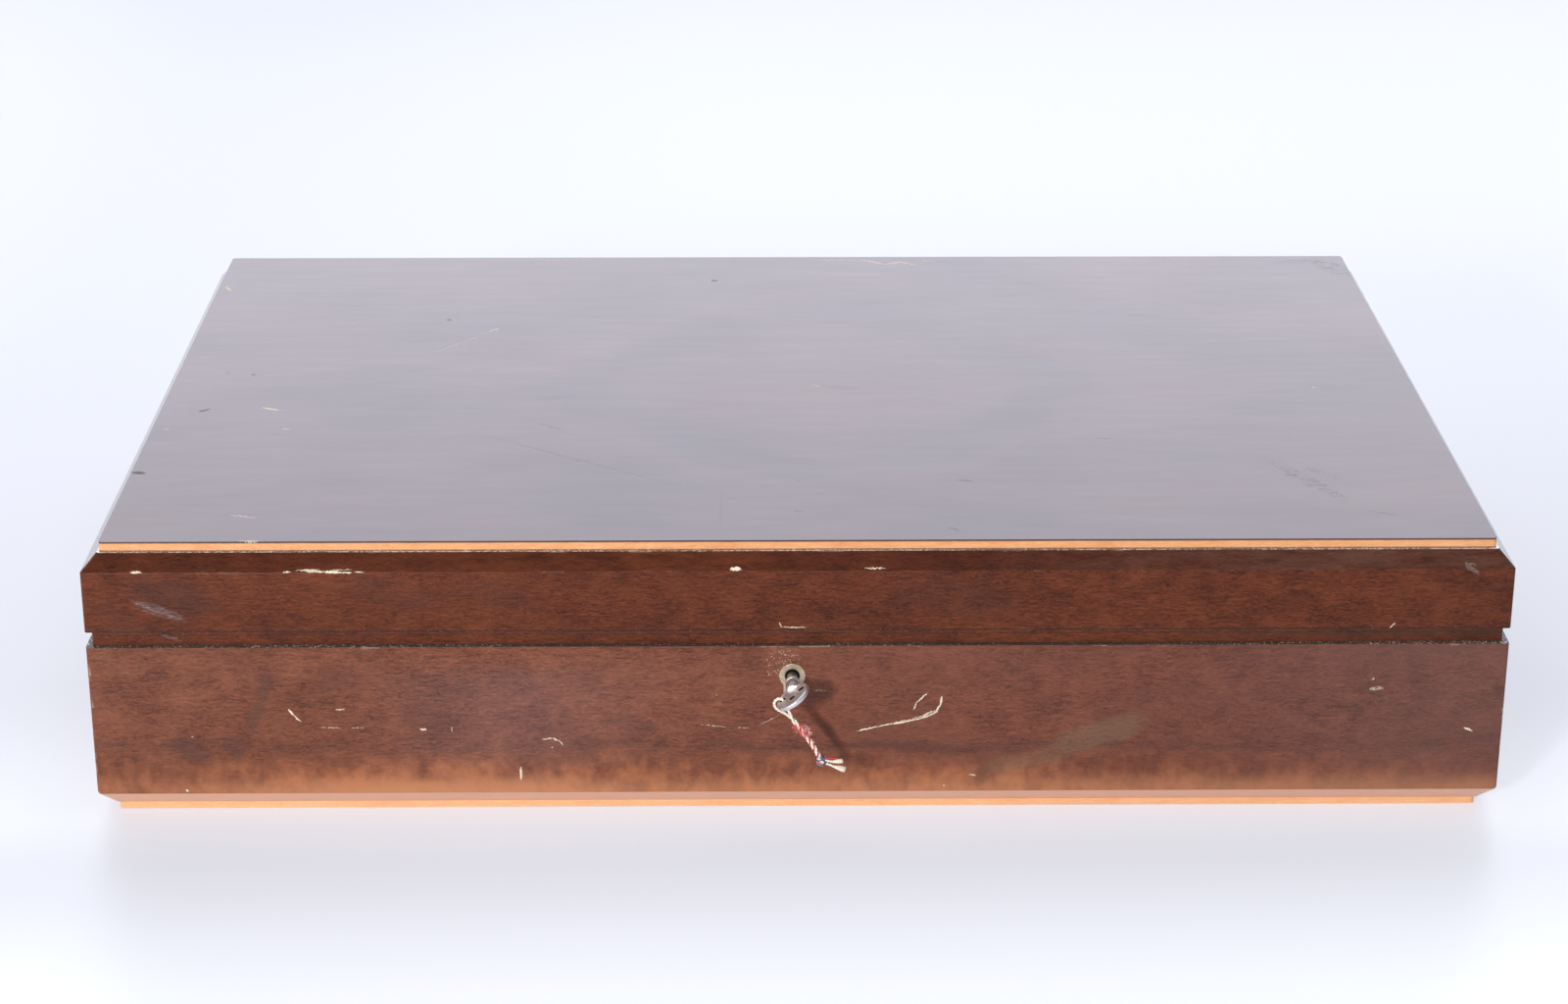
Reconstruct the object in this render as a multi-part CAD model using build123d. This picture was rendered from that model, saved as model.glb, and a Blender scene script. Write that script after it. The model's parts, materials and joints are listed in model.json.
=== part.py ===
from build123d import *
import math
import os

# Cutlery chest: a low wooden box with a hinged lid, a box lock with its key, and fitted racks.
# Millimetres. +X to the right, +Y to the back, +Z up. The origin is the centre of the underside,
# where the base board rests. The lid is modelled closed and the key part-turned, with the lock
# not yet thrown.

# Driving sizes of the case
width = 480.0
depth = 327.0
wall_thickness = 10.0
corner_rounding = 1.2
mitre_cut_reach = 5.0

# Base board and foot bevel
base_board_thickness = 2.9
base_board_inset = 6.1
foot_bevel_height = 5.6
foot_bevel_inset = 5.2
foot_edge_rounding = 1.6

# Body and lid heights, measured upwards
body_wall_height = 60.1
lid_seat_gap = 0.2
rebate_height = 5.5
rebate_depth = 2.0
lid_face_height = 21.6
lid_bevel_height = 5.3
lid_bevel_inset = 5.0
lid_edge_rounding = 0.5
lid_board_thickness = 3.05
lid_board_inset = 5.85
veneer_thickness = 0.55

body_top = base_board_thickness + body_wall_height
lid_bottom = body_top + lid_seat_gap
rebate_top = lid_bottom + rebate_height
lid_face_top = rebate_top + lid_face_height
lid_wall_top = lid_face_top + lid_bevel_height
board_top = lid_wall_top + lid_board_thickness
parting_z = body_top + lid_seat_gap / 2

# Inside of the walls
inner_x = width / 2 - wall_thickness
inner_y = depth / 2 - wall_thickness
front_face = -depth / 2
front_inside = -inner_y
back_face = depth / 2

# Linings: velvet over thin card
floor_lining_thickness = 1.2
wall_lining_thickness = 1.0
wall_lining_height = 34.0
lid_lining_thickness = 1.0
lid_lining_height = 14.0
floor_top = base_board_thickness + floor_lining_thickness
lined_x = inner_x - wall_lining_thickness
lined_y = inner_y - wall_lining_thickness

# Dividers and racks
divider_thickness = 5.0
divider_height = 33.0
divider_rounding = 1.5
bay_count = 3
rack_thickness = 14.0
rack_edge_rounding = 1.2
piece_gap = 0.2
knife_rack_height = 30.0
knife_slit_count = 12
knife_slit_pitch = 11.4
knife_slit_width = 3.2
knife_slit_depth = 21.0
knife_slit_flare = 2.2
knife_rack_place = 95.0
fork_rack_height = 27.0
fork_rack_place = 66.0
spoon_rack_height = 27.0
spoon_rack_place = 72.0
well_count = 3
fork_well_pitch = 47.0
fork_well_width = 32.0
fork_well_depth = 15.0
spoon_well_pitch = 47.0
spoon_well_width = 36.0
spoon_well_depth = 17.0

# Padded lid lining
cushion_gap = 0.4
cushion_edge = 6.0
cushion_crown = 5.0
cushion_side_draw = 1.6
cushion_corner = 6.0

# The crown's swell: distance in from the cushion's edge, and share of the crown reached there
crown_steps = [(cushion_side_draw, 0), (8.0, 0.35), (22.0, 0.72), (46.0, 0.93), (80.0, 1.0)]

# Stop hinges
hinge_end_distance = 90.0
hinge_place = width / 2 - hinge_end_distance
leaf_length = 50.0
leaf_width = 9.3
leaf_thickness = 1.2
knuckle_count = 5
knuckle_radius = 2.5
knuckle_gap = 0.2
knuckle_tab_root = 1.0
barrel_standoff = 0.2
pin_radius = 1.0
pin_clearance = 0.06
pin_head_radius = 1.5
pin_head_height = 0.6
leaf_screw_count = 3
leaf_screw_pitch = 17.0
leaf_screw_inset = 4.4
stop_bar_thickness = 1.2
stop_bar_reach = 1.9
stop_bar_angle = -80.0
stop_lug_angle = 50.0
stop_lug_root = 0.4
stop_bar_clearance = 0.25

# Countersunk screws
hinge_screw_head = 2.1
hinge_screw_shaft = 1.0
hinge_screw_length = 8.0
lock_screw_head = 1.7
lock_screw_shaft = 0.8
lock_screw_length = 3.2
link_screw_length = 6.5
screw_countersink = 1.1
screw_slot_width = 0.5
screw_slot_depth = 0.45
screw_slot_length = 2.2
screw_turn_step = 17.0
screw_hole_clearance = 0.05

# Keyhole and key
key_x = -2.3
key_z = 52.0
key_turned = 56.0
keyhole_radius = 2.25
keyhole_slot_width = 2.1
keyhole_slot_reach = 6.7
escutcheon_radius = 4.4
escutcheon_tongue_width = 5.9
escutcheon_tongue_reach = 8.9
escutcheon_depth = 2.4
escutcheon_proud = 0.15
escutcheon_rounding = 0.12
escutcheon_tongue_rounding = 2.55
shank_radius = 1.85
shank_end_gap = 0.3
barrel_bore_radius = 1.05
barrel_bore_depth = 7.0
bit_radius = 6.0
bit_thickness = 1.5
bit_length = 3.4
bit_offset = 0.4
bit_ward_width = 0.9
bit_ward_depth = 1.6
bit_ward_shift = 0.9
collar_radius = 2.45
collar_width = 1.9
collar_out = 5.2
collar_rounding = 0.8
neck_radius = 2.1
neck_tip_radius = 0.8
neck_into_bow = 1.5
neck_swell_gap = 0.2
bow_out = 17.0
bow_half_width = 6.0
bow_half_length = 6.9
bow_thickness = 1.7
bow_rim_width = 1.15
bow_dish_depth = 0.3
bow_rounding = 0.6
bow_hole_radius = 1.1
bow_side_hole = 3.7
bow_side_hole_out = -1.1
bow_middle_hole_out = 1.7

# Box lock
lock_plate_width = 64.0
lock_plate_drop = 23.0
lock_plate_thickness = 1.2
selvedge_depth = 7.6
selvedge_thickness = 1.4
lock_screw_inset = 2.45
lock_screw_drop = 5.0
lock_screw_rise = 3.0
lock_case_half_width = 26.3
lock_case_wall = 0.8
lock_case_height = 19.4
lock_case_depth = 5.0
drill_pin_radius = 0.95
drill_pin_length = 5.4

# Bolt, measured from the key's axis with the bolt drawn back
bolt_travel = 6.0
bolt_thickness = 1.8
bolt_running_gap = 0.2
bolt_bar_top = -2.6
bolt_bar_bottom = -8.8
bolt_left = -6.2
bolt_left_riser = 2.8
bolt_right = 23.8
bolt_right_riser = 2.6
bolt_finger_left = 3.2
bolt_finger_right = 3.65
bolt_finger_height = 2.0
bolt_finger_top = 6.7
bolt_notch_left = -2.8
bolt_notch_right = 2.0
bolt_notch_depth = 3.9
full_turn_of_bolt = 90.0

# Link plate and its hooks
hook_width = 2.2
hook_nose = 2.2
hook_nose_height = 2.2
hook_nose_gap = 0.3
hook_side_gap = 0.35
hook_thickness = 1.8
link_plate_width = 50.0
link_plate_depth = 7.0
link_plate_thickness = 1.2
link_screw_inset = 4.0
hook_stem_root = 0.5
slot_clearance = 0.5

# Detent spring of the lock
spring_thickness = 0.4
spring_length = 9.0
spring_post_radius = 1.0
spring_post_length = 3.4
spring_post_root = 0.1
spring_start = 5.0

# Key cord
cord_diameter = 1.0
cord_plane_out = 15.9
knot_radius = 1.9
knot_flat = 1.45
cord_bend_share = 0.45

# The cord's route in its upright plane: x, z, from the knot, round the bow's rim, to the knot
cord_route = [
    (6.71, 29.43),
    (4.55, 32.75),
    (2.35, 36.55),
    (-0.45, 40.75),
    (-2.95, 45.0),
    (-4.55, 47.75),
    (-5.61, 50.45),
    (-7.13, 50.8),
    (-8.38, 49.86),
    (-8.46, 48.3),
    (-6.55, 46.35),
    (-3.75, 43.95),
    (-1.45, 40.2),
    (1.3, 35.95),
    (3.55, 32.2),
    (5.76, 28.83),
]
upper_tail_route = [(8.55, 28.07), (10.1, 27.65), (12.2, 27.35), (14.5, 27.55)]
lower_tail_route = [(8.26, 26.98), (9.85, 26.55), (12.3, 25.3), (15.3, 24.4)]

nodes = {}


def block(x0, x1, y0, y1, z0, z1):
    """A box between two corners."""
    centre = ((x0 + x1) / 2, (y0 + y1) / 2, (z0 + z1) / 2)
    return Pos(*centre) * Box(x1 - x0, y1 - y0, z1 - z0)


def rod(start, axis, radius, length):
    """A round bar from a point along a direction."""
    return extrude(Plane(origin=start, z_dir=axis) * Circle(radius), length)


def rounded_plan(inset, z):
    """The case's outline, drawn in by an inset, at a height."""
    outline = RectangleRounded(width - 2 * inset, depth - 2 * inset, corner_rounding)
    return Pos(0, 0, z) * outline


def group(pieces):
    """Separate solids of one node."""
    return Compound(children=list(pieces))


def mitred(ring, low, high):
    """Cuts a ring of wall into front, back, left and right, mitred at the corners."""
    inner = 2 * wall_thickness
    out_x = width / 2 + mitre_cut_reach
    out_y = depth / 2 + mitre_cut_reach
    in_x = width / 2 - inner
    in_y = depth / 2 - inner
    front = [(-out_x, -out_y), (out_x, -out_y), (in_x, -in_y), (-in_x, -in_y)]
    right = [(out_x, -out_y), (out_x, out_y), (in_x, in_y), (in_x, -in_y)]
    walls = {}
    for name, corners, turn in (
        ("front", front, 0),
        ("back", front, 180),
        ("right", right, 0),
        ("left", right, 180),
    ):
        plan = make_face(Polyline(*corners, close=True))
        wedge = extrude(Rot(0, 0, turn) * Pos(0, 0, low) * plan, high - low)
        walls[name] = ring & wedge
    return walls


def screw(point, into, head, shaft, length, slot_turn):
    """A countersunk slotted screw whose head is flush at a point."""
    down = Vector(*into)
    plane = Plane(origin=point, z_dir=down)
    cone = loft([plane * Circle(head), plane.offset(screw_countersink) * Circle(shaft)])
    stem = extrude(plane.offset(screw_countersink) * Circle(shaft), length - screw_countersink)
    slot = Box(screw_slot_length * head, screw_slot_width, 2 * screw_slot_depth)
    return cone + stem - plane * Rot(0, 0, slot_turn) * slot


def screw_hole(point, into, head, shaft, length):
    """The countersunk hole that a screw fills."""
    gap = screw_hole_clearance
    plane = Plane(origin=point, z_dir=Vector(*into))
    mouth = loft(
        [plane * Circle(head + gap), plane.offset(screw_countersink + gap) * Circle(shaft + gap)]
    )
    return mouth + extrude(plane * Circle(shaft + gap), length + gap)


def body_shell():
    """The body's four walls as one ring, before mitring."""
    bevel_top = base_board_thickness + foot_bevel_height
    foot = loft([rounded_plan(foot_bevel_inset, base_board_thickness), rounded_plan(0, bevel_top)])
    outer = foot + extrude(rounded_plan(0, bevel_top), body_top - bevel_top)
    ring = [e for e in outer.edges() if abs(e.center().Z - bevel_top) < 0.01]
    outer = fillet(ring, foot_edge_rounding)
    inside = block(-inner_x, inner_x, -inner_y, inner_y, 0, body_top + 1)
    return outer - inside


def lid_shell():
    """The lid's four walls as one ring, before mitring."""
    rebate = extrude(rounded_plan(rebate_depth, lid_bottom), rebate_height)
    face = extrude(rounded_plan(0, rebate_top), lid_face_height)
    bevel = loft([rounded_plan(0, lid_face_top), rounded_plan(lid_bevel_inset, lid_wall_top)])
    outer = rebate + face + bevel
    ring = [e for e in outer.edges() if abs(e.center().Z - lid_face_top) < 0.01]
    outer = fillet(ring, lid_edge_rounding)
    inside = block(-inner_x, inner_x, -inner_y, inner_y, lid_bottom - 1, lid_wall_top + 1)
    return outer - inside


def keyhole(radius, tongue_width, tongue_reach, y0, y1):
    """A keyhole shape along Y: a circle with a tongue hanging from it."""
    plane = Plane(origin=(key_x, y1, key_z), x_dir=(1, 0, 0), z_dir=(0, -1, 0))
    tongue = Pos(0, -tongue_reach / 2) * Rectangle(tongue_width, tongue_reach)
    outline = Circle(radius) + tongue
    return extrude(plane * outline, y1 - y0)


# Hinges

hinge_y = back_face + knuckle_radius + barrel_standoff
hinge_centres = (-hinge_place, hinge_place)


def barrel_piece(x0, x1):
    """A stretch of hinge barrel with its bore."""
    start = (x0, hinge_y, parting_z)
    bore = rod(start, (1, 0, 0), pin_radius + pin_clearance, x1 - x0)
    return rod(start, (1, 0, 0), knuckle_radius, x1 - x0) - bore


def radial_bar(x0, x1, inner_radius, outer_radius, angle):
    """A flat bar standing out from the hinge axis, at an angle from straight back."""
    bar = block(x0, x1, inner_radius, outer_radius, -stop_bar_thickness / 2, stop_bar_thickness / 2)
    return Pos(0, hinge_y, parting_z) * Rot(angle, 0, 0) * bar


def knuckle_spans(centre):
    """The knuckles' start and end along X, numbered from the left."""
    pitch = leaf_length / knuckle_count
    first = centre - leaf_length / 2
    half_gap = knuckle_gap / 2
    return [
        (first + i * pitch + half_gap, first + (i + 1) * pitch - half_gap)
        for i in range(knuckle_count)
    ]


def hinge_leaf(centre, on_lid):
    """One leaf: a flat plate let into the edge, with its own knuckles."""
    inner_edge = back_face - leaf_width
    plate_edge = back_face
    low, high = (
        (lid_bottom, lid_bottom + leaf_thickness)
        if on_lid
        else (body_top - leaf_thickness, body_top)
    )
    left = centre - leaf_length / 2
    leaf = block(left, left + leaf_length, inner_edge, plate_edge, low, high)
    reach = knuckle_radius + stop_bar_reach
    for i, (x0, x1) in enumerate(knuckle_spans(centre)):
        if (i % 2 == 1) != on_lid:
            continue
        tab = block(x0, x1, plate_edge - knuckle_tab_root, hinge_y, low, high)
        bore = rod((x0, hinge_y, parting_z), (1, 0, 0), pin_radius + pin_clearance, x1 - x0)
        angle = stop_lug_angle if on_lid else stop_bar_angle
        lug = radial_bar(x0, x1, pin_radius + pin_clearance + stop_lug_root, reach, angle)
        leaf += barrel_piece(x0, x1) + (tab - bore) + lug
    if not on_lid:
        spans = knuckle_spans(centre)
        clear = knuckle_radius + stop_bar_clearance
        leaf += radial_bar(spans[0][0], spans[-1][1], clear, reach, stop_bar_angle)
    for x in leaf_screw_xs(centre):
        leaf -= screw_hole(leaf_screw_point(x, on_lid), leaf_screw_way(on_lid), *leaf_screw_sizes())
    return leaf


def leaf_screw_xs(centre):
    """The screws' places along a leaf."""
    middle = (leaf_screw_count - 1) / 2
    return [centre + (i - middle) * leaf_screw_pitch for i in range(leaf_screw_count)]


def leaf_screw_point(x, on_lid):
    """A leaf screw's head, flush with the leaf's face."""
    y = back_face - leaf_width + leaf_screw_inset
    return (x, y, lid_bottom if on_lid else body_top)


def leaf_screw_way(on_lid):
    """The direction in which a leaf screw is driven."""
    return (0, 0, 1) if on_lid else (0, 0, -1)


def leaf_screw_sizes():
    """Head, shaft and length of a leaf screw."""
    return hinge_screw_head, hinge_screw_shaft, hinge_screw_length


def hinge_pin(centre):
    """A hinge pin with a small head at each end."""
    half = leaf_length / 2
    start = centre - half - pin_head_height
    pin = rod((start, hinge_y, parting_z), (1, 0, 0), pin_radius, leaf_length + 2 * pin_head_height)
    for x in (start, centre + half):
        pin += rod((x, hinge_y, parting_z), (1, 0, 0), pin_head_radius, pin_head_height)
    return pin


def leaf_recess(centre, on_lid):
    """The shallow recess that a leaf lies in."""
    low, high = (
        (lid_bottom - 1, lid_bottom + leaf_thickness)
        if on_lid
        else (body_top - leaf_thickness, body_top + 1)
    )
    left = centre - leaf_length / 2
    return block(left, left + leaf_length, back_face - leaf_width, back_face + 1, low, high)


# Lock

plate_back = front_inside
plate_front = front_inside - lock_plate_thickness
case_front = plate_front - lock_case_depth
case_top = body_top - selvedge_thickness
case_bottom = case_top - lock_case_height
bolt_back = plate_front - bolt_running_gap
bolt_front = bolt_back - bolt_thickness
bolt_shift = bolt_travel * key_turned / full_turn_of_bolt


def bolt_outline():
    """The bolt's flat outline about the key's axis, drawn back."""
    finger_bottom = bolt_finger_top - bolt_finger_height
    left_tip = bolt_left - bolt_finger_left
    right_inner = bolt_right - bolt_right_riser
    notch_floor = bolt_bar_top - bolt_notch_depth
    left_inner = bolt_left + bolt_left_riser
    return [
        (bolt_left, bolt_bar_bottom),
        (bolt_right, bolt_bar_bottom),
        (bolt_right, bolt_finger_top),
        (right_inner - bolt_finger_right, bolt_finger_top),
        (right_inner - bolt_finger_right, finger_bottom),
        (right_inner, finger_bottom),
        (right_inner, bolt_bar_top),
        (bolt_notch_right, bolt_bar_top),
        (bolt_notch_right, notch_floor),
        (bolt_notch_left, notch_floor),
        (bolt_notch_left, bolt_bar_top),
        (left_inner, bolt_bar_top),
        (left_inner, bolt_finger_top),
        (left_tip, bolt_finger_top),
        (left_tip, finger_bottom),
        (bolt_left, finger_bottom),
    ]


def lock_bolt():
    """The sliding bolt, moved on by the part-turned key."""
    plane = Plane(origin=(key_x - bolt_shift, bolt_back, key_z), x_dir=(1, 0, 0), z_dir=(0, -1, 0))
    return extrude(plane * make_face(Polyline(*bolt_outline(), close=True)), bolt_thickness)


def hook_sides():
    """Each hook's left side along X: the bolt's fingers stop just short of it when thrown."""
    left_tip = bolt_left - bolt_finger_left
    right_tip = bolt_right - bolt_right_riser - bolt_finger_right
    return [key_x + tip - bolt_travel - hook_side_gap - hook_width for tip in (left_tip, right_tip)]


def hook_bottom():
    """The underside of the hooks' noses."""
    finger_bottom = key_z + bolt_finger_top - bolt_finger_height
    return finger_bottom - hook_nose_gap - hook_nose_height


def hooks():
    """Two hooks that hang from the link plate into the lock."""
    pieces = []
    low = hook_bottom()
    for x in hook_sides():
        front = bolt_back - hook_thickness
        stem = block(x, x + hook_width, front, bolt_back, low, lid_bottom + hook_stem_root)
        nose_end = x + hook_width + hook_nose
        nose = block(x, nose_end, front, bolt_back, low, low + hook_nose_height)
        tip = [e for e in nose.edges() if abs(e.center().X - nose_end) < 0.01]
        lower = [e for e in tip if abs(e.center().Z - low) < 0.01]
        pieces.append(stem + chamfer(lower, hook_nose / 2))
    return pieces


def link_plate_centre():
    """The link plate's middle, over its two hooks."""
    left, right = hook_sides()
    return (left + right + hook_width + hook_nose) / 2


def link_plate_y():
    """The link plate's front and back edges, centred over the hooks."""
    middle = bolt_back - hook_thickness / 2
    return middle - link_plate_depth / 2, middle + link_plate_depth / 2


def link_screw_points():
    """The link plate's two screws."""
    y = sum(link_plate_y()) / 2
    reach = link_plate_width / 2 - link_screw_inset
    middle = link_plate_centre()
    return [(middle - reach, y, lid_bottom), (middle + reach, y, lid_bottom)]


def link_recess():
    """The recess in the lid's lower edge that the link plate fills."""
    y0, y1 = link_plate_y()
    half = link_plate_width / 2
    middle = link_plate_centre()
    return block(middle - half, middle + half, y0, y1, lid_bottom - 1, lid_bottom + link_plate_thickness)


def link_plate():
    """The plate in the lid's edge that carries both hooks."""
    y0, y1 = link_plate_y()
    half = link_plate_width / 2
    middle = link_plate_centre()
    plate = block(middle - half, middle + half, y0, y1, lid_bottom, lid_bottom + link_plate_thickness)
    for hook in hooks():
        plate += hook
    for point in link_screw_points():
        plate -= screw_hole(point, (0, 0, 1), *link_screw_sizes())
    return plate


def lock_screw_sizes():
    """Head, shaft and length of a lock screw."""
    return lock_screw_head, lock_screw_shaft, lock_screw_length


def link_screw_sizes():
    """Head, shaft and length of a link plate screw."""
    return lock_screw_head, lock_screw_shaft, link_screw_length


def lock_screw_points():
    """The lock plate's four corner screws, driven towards the front."""
    reach = lock_plate_width / 2 - lock_screw_inset
    z_high = body_top - lock_screw_drop
    z_low = body_top - lock_plate_drop + lock_screw_rise
    return [(key_x + side * reach, plate_back, z) for side in (-1, 1) for z in (z_low, z_high)]


def selvedge_front():
    """The front edge of the lock's top plate."""
    return plate_back - selvedge_depth


def lock_plate():
    """The lock's back plate and its selvedge, one bent plate."""
    half = lock_plate_width / 2
    low = body_top - lock_plate_drop
    left, right = key_x - half, key_x + half
    plate = block(left, right, plate_front, plate_back, low, body_top)
    plate += block(left, right, selvedge_front(), plate_back, case_top, body_top)
    for x in hook_sides():
        plate -= block(
            x - slot_clearance,
            x + hook_width + hook_nose + slot_clearance,
            bolt_back - hook_thickness - slot_clearance,
            plate_front,
            case_top - 1,
            body_top + 1,
        )
    for point in lock_screw_points():
        plate -= screw_hole(point, (0, -1, 0), *lock_screw_sizes())
    return plate


def lock_case():
    """The folded cover that makes the lock's box, open towards the lock plate."""
    half = lock_case_half_width
    wall = lock_case_wall
    case = block(key_x - half, key_x + half, case_front, plate_front, case_bottom, case_top)
    case -= block(
        key_x - half + wall,
        key_x + half - wall,
        case_front + wall,
        plate_front + 1,
        case_bottom + wall,
        case_top + 1,
    )
    corners = [e for e in case.edges().filter_by(Axis.Y) if abs(e.center().Z - case_bottom) < 0.01]
    case = fillet(corners, 2 * wall)
    return case - key_way(case_front - 1, case_front + wall + 1)


def lock_spring():
    """The flat detent spring on its post, lying just over the bolt's bar."""
    left = key_x + spring_start
    low = key_z + bolt_bar_top + bolt_running_gap
    leaf = block(left, left + spring_length, bolt_front, bolt_back, low, low + spring_thickness)
    post_z = low + spring_thickness + spring_post_radius - spring_post_root
    foot = (left + spring_post_radius, plate_front, post_z)
    post = rod(foot, (0, -1, 0), spring_post_radius, spring_post_length)
    return leaf + post


def drill_pin():
    """The pin that the hollow key turns on."""
    pin = rod((key_x, plate_front, key_z), (0, -1, 0), drill_pin_radius, drill_pin_length)
    tip = [e for e in pin.edges() if abs(e.center().Y - plate_front + drill_pin_length) < 0.01]
    return chamfer(tip, drill_pin_radius / 2)


def lock_pocket():
    """The hollow in the front wall for the lock, its plate and its screws."""
    half_plate = lock_plate_width / 2
    half_case = lock_case_half_width
    low = body_top - lock_plate_drop
    left, right = key_x - half_plate, key_x + half_plate
    pocket = block(left, right, plate_front, plate_back + 1, low, body_top + 1)
    pocket += block(left, right, selvedge_front(), plate_back + 1, case_top, body_top + 1)
    pocket += block(key_x - half_case, key_x + half_case, case_front, plate_back, case_bottom, body_top)
    for point in lock_screw_points():
        pocket += screw_hole(point, (0, -1, 0), *lock_screw_sizes())
    return pocket


def key_way(y0, y1):
    """The keyhole itself, cut along Y."""
    return keyhole(keyhole_radius, keyhole_slot_width, keyhole_slot_reach, y0, y1)


def escutcheon_blank(y0, y1):
    """The escutcheon's outline, with a rounded tongue."""
    blank = keyhole(escutcheon_radius, escutcheon_tongue_width, escutcheon_tongue_reach, y0, y1)
    tongue_end = key_z - escutcheon_tongue_reach
    corners = [e for e in blank.edges().filter_by(Axis.Y) if abs(e.center().Z - tongue_end) < 0.01]
    return fillet(corners, escutcheon_tongue_rounding)


def escutcheon():
    """The keyhole-shaped brass lining, standing just proud of the wall."""
    front = front_face - escutcheon_proud
    lining = escutcheon_blank(front, front_face + escutcheon_depth)
    lining -= key_way(front_face - 1, front_face + escutcheon_depth + 1)
    front_ring = [e for e in lining.edges() if abs(e.center().Y - front) < 0.01]
    return fillet(front_ring, escutcheon_rounding)


def escutcheon_seat():
    """The seat of the escutcheon and the way through to the lock."""
    seat = escutcheon_blank(front_face - 1, front_face + escutcheon_depth)
    return seat + key_way(front_face - 1, case_front + 1)


# Key

shank_end = plate_front - shank_end_gap


def key():
    """The key: hollow shank with its bit, collar, and pierced oval bow, turned in the lock."""
    bow_start = bow_out - bow_half_length
    shank_length = shank_end - front_face + bow_start + neck_into_bow
    shank = rod((0, shank_end, 0), (0, -1, 0), shank_radius, shank_length)
    bit_back = bolt_back - bit_offset / 2
    half_bit = bit_thickness / 2
    bit = block(-half_bit, half_bit, bit_back - bit_length, bit_back, -bit_radius, -shank_radius / 2)
    ward_top = -bit_radius + bit_ward_depth
    ward_y = bit_back - bit_length / 2 - bit_ward_shift
    bit -= block(
        -bit_thickness,
        bit_thickness,
        ward_y - bit_ward_width / 2,
        ward_y + bit_ward_width / 2,
        -bit_radius - 1,
        ward_top,
    )
    collar_start = (0, front_face - collar_out + collar_width / 2, 0)
    collar = rod(collar_start, (0, -1, 0), collar_radius, collar_width)
    collar = fillet(collar.edges(), collar_rounding)
    rings = [
        (collar_out + collar_width / 4, shank_radius),
        (bow_start - neck_swell_gap, neck_radius),
        (bow_start + neck_into_bow, neck_tip_radius),
    ]
    neck = loft([Plane(origin=(0, front_face - out, 0), z_dir=(0, -1, 0)) * Circle(r) for out, r in rings])
    blank = shank + bit + collar + neck + bow()
    blank -= rod((0, shank_end + 1, 0), (0, -1, 0), barrel_bore_radius, barrel_bore_depth + 1)
    return Pos(key_x, 0, key_z) * Rot(0, key_turned, 0) * blank


def bow():
    """The oval bow, lying in the bit's plane, dished inside its rim and pierced three times."""
    centre = (0, front_face - bow_out, 0)
    plane = Plane(origin=centre, x_dir=(0, 0, 1), z_dir=(1, 0, 0))
    half = bow_thickness / 2
    outline = SlotOverall(2 * bow_half_length, 2 * bow_half_width, rotation=90)
    plate = extrude(plane.offset(-half) * outline, bow_thickness)
    rims = [e for e in plate.edges() if abs(abs(e.center().X) - half) < 0.01]
    plate = fillet(rims, bow_rounding)
    dish_length = 2 * (bow_half_length - bow_rim_width)
    dish = SlotOverall(dish_length, 2 * (bow_half_width - bow_rim_width), rotation=90)
    plate -= extrude(plane.offset(half - bow_dish_depth) * dish, bow_dish_depth + 1)
    plate -= extrude(plane.offset(-half - 1) * dish, bow_dish_depth + 1)
    places = [
        (-bow_side_hole, bow_side_hole_out),
        (bow_side_hole, bow_side_hole_out),
        (0, bow_middle_hole_out),
    ]
    for across, out in places:
        hole = Pos(across, out) * Circle(bow_hole_radius)
        plate -= extrude(plane.offset(-half - 1) * hole, bow_thickness + 2)
    return plate


# Cord

cord_y = front_face - cord_plane_out


def corner_radii(points):
    """The arc at each inner point, as large as its two runs allow."""
    radii = []
    for before, here, after in zip(points, points[1:], points[2:]):
        run_in = here - before
        run_out = after - here
        turn = math.radians(run_in.get_angle(run_out))
        radii.append(cord_bend_share * min(run_in.length, run_out.length) / math.tan(turn / 2))
    return radii


def cord_tube(route, name):
    """A round tube along straight runs joined by tangent arcs."""
    points = [Vector(x, cord_y, z) for x, z in route]
    radii = corner_radii(points)
    path = FilletPolyline(*points, radius=radii)
    section = Plane(origin=points[0], z_dir=path % 0) * Circle(cord_diameter / 2)
    tube = sweep(section, path=path)
    expected = math.pi * cord_diameter**2 / 4 * path.length
    print(name, "arcs", [round(r, 2) for r in radii])
    print(name, "length", round(path.length, 2), "volume", round(tube.volume, 3), "of", round(expected, 3))
    return tube


def knot_centre():
    """The knot's middle, beyond the two legs' ends by the knot's flat."""
    first = Vector(cord_route[0][0], cord_y, cord_route[0][1])
    last = Vector(cord_route[-1][0], cord_y, cord_route[-1][1])
    across = (first - last).normalized()
    along = Vector(across.Z, 0, -across.X)
    return (first + last) / 2 + along * knot_flat, along


def cord_knot():
    """The knot: a small ball, flat where the legs come in and where the tails leave."""
    centre, along = knot_centre()
    start = Vector(upper_tail_route[0][0], cord_y, upper_tail_route[0][1])
    other = Vector(lower_tail_route[0][0], cord_y, lower_tail_route[0][1])
    across = (start - other).normalized()
    tail_way = Vector(across.Z, 0, -across.X)
    ball = Pos(*centre) * Sphere(knot_radius)
    legs_plane = Plane(origin=centre - along * knot_flat, z_dir=-along)
    tails_plane = Plane(origin=(start + other) / 2, z_dir=tail_way)
    for plane in (legs_plane, tails_plane):
        ball -= extrude(plane * Rectangle(3 * knot_radius, 3 * knot_radius), 2 * knot_radius)
    return ball


# Linings, racks and cushion


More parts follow.
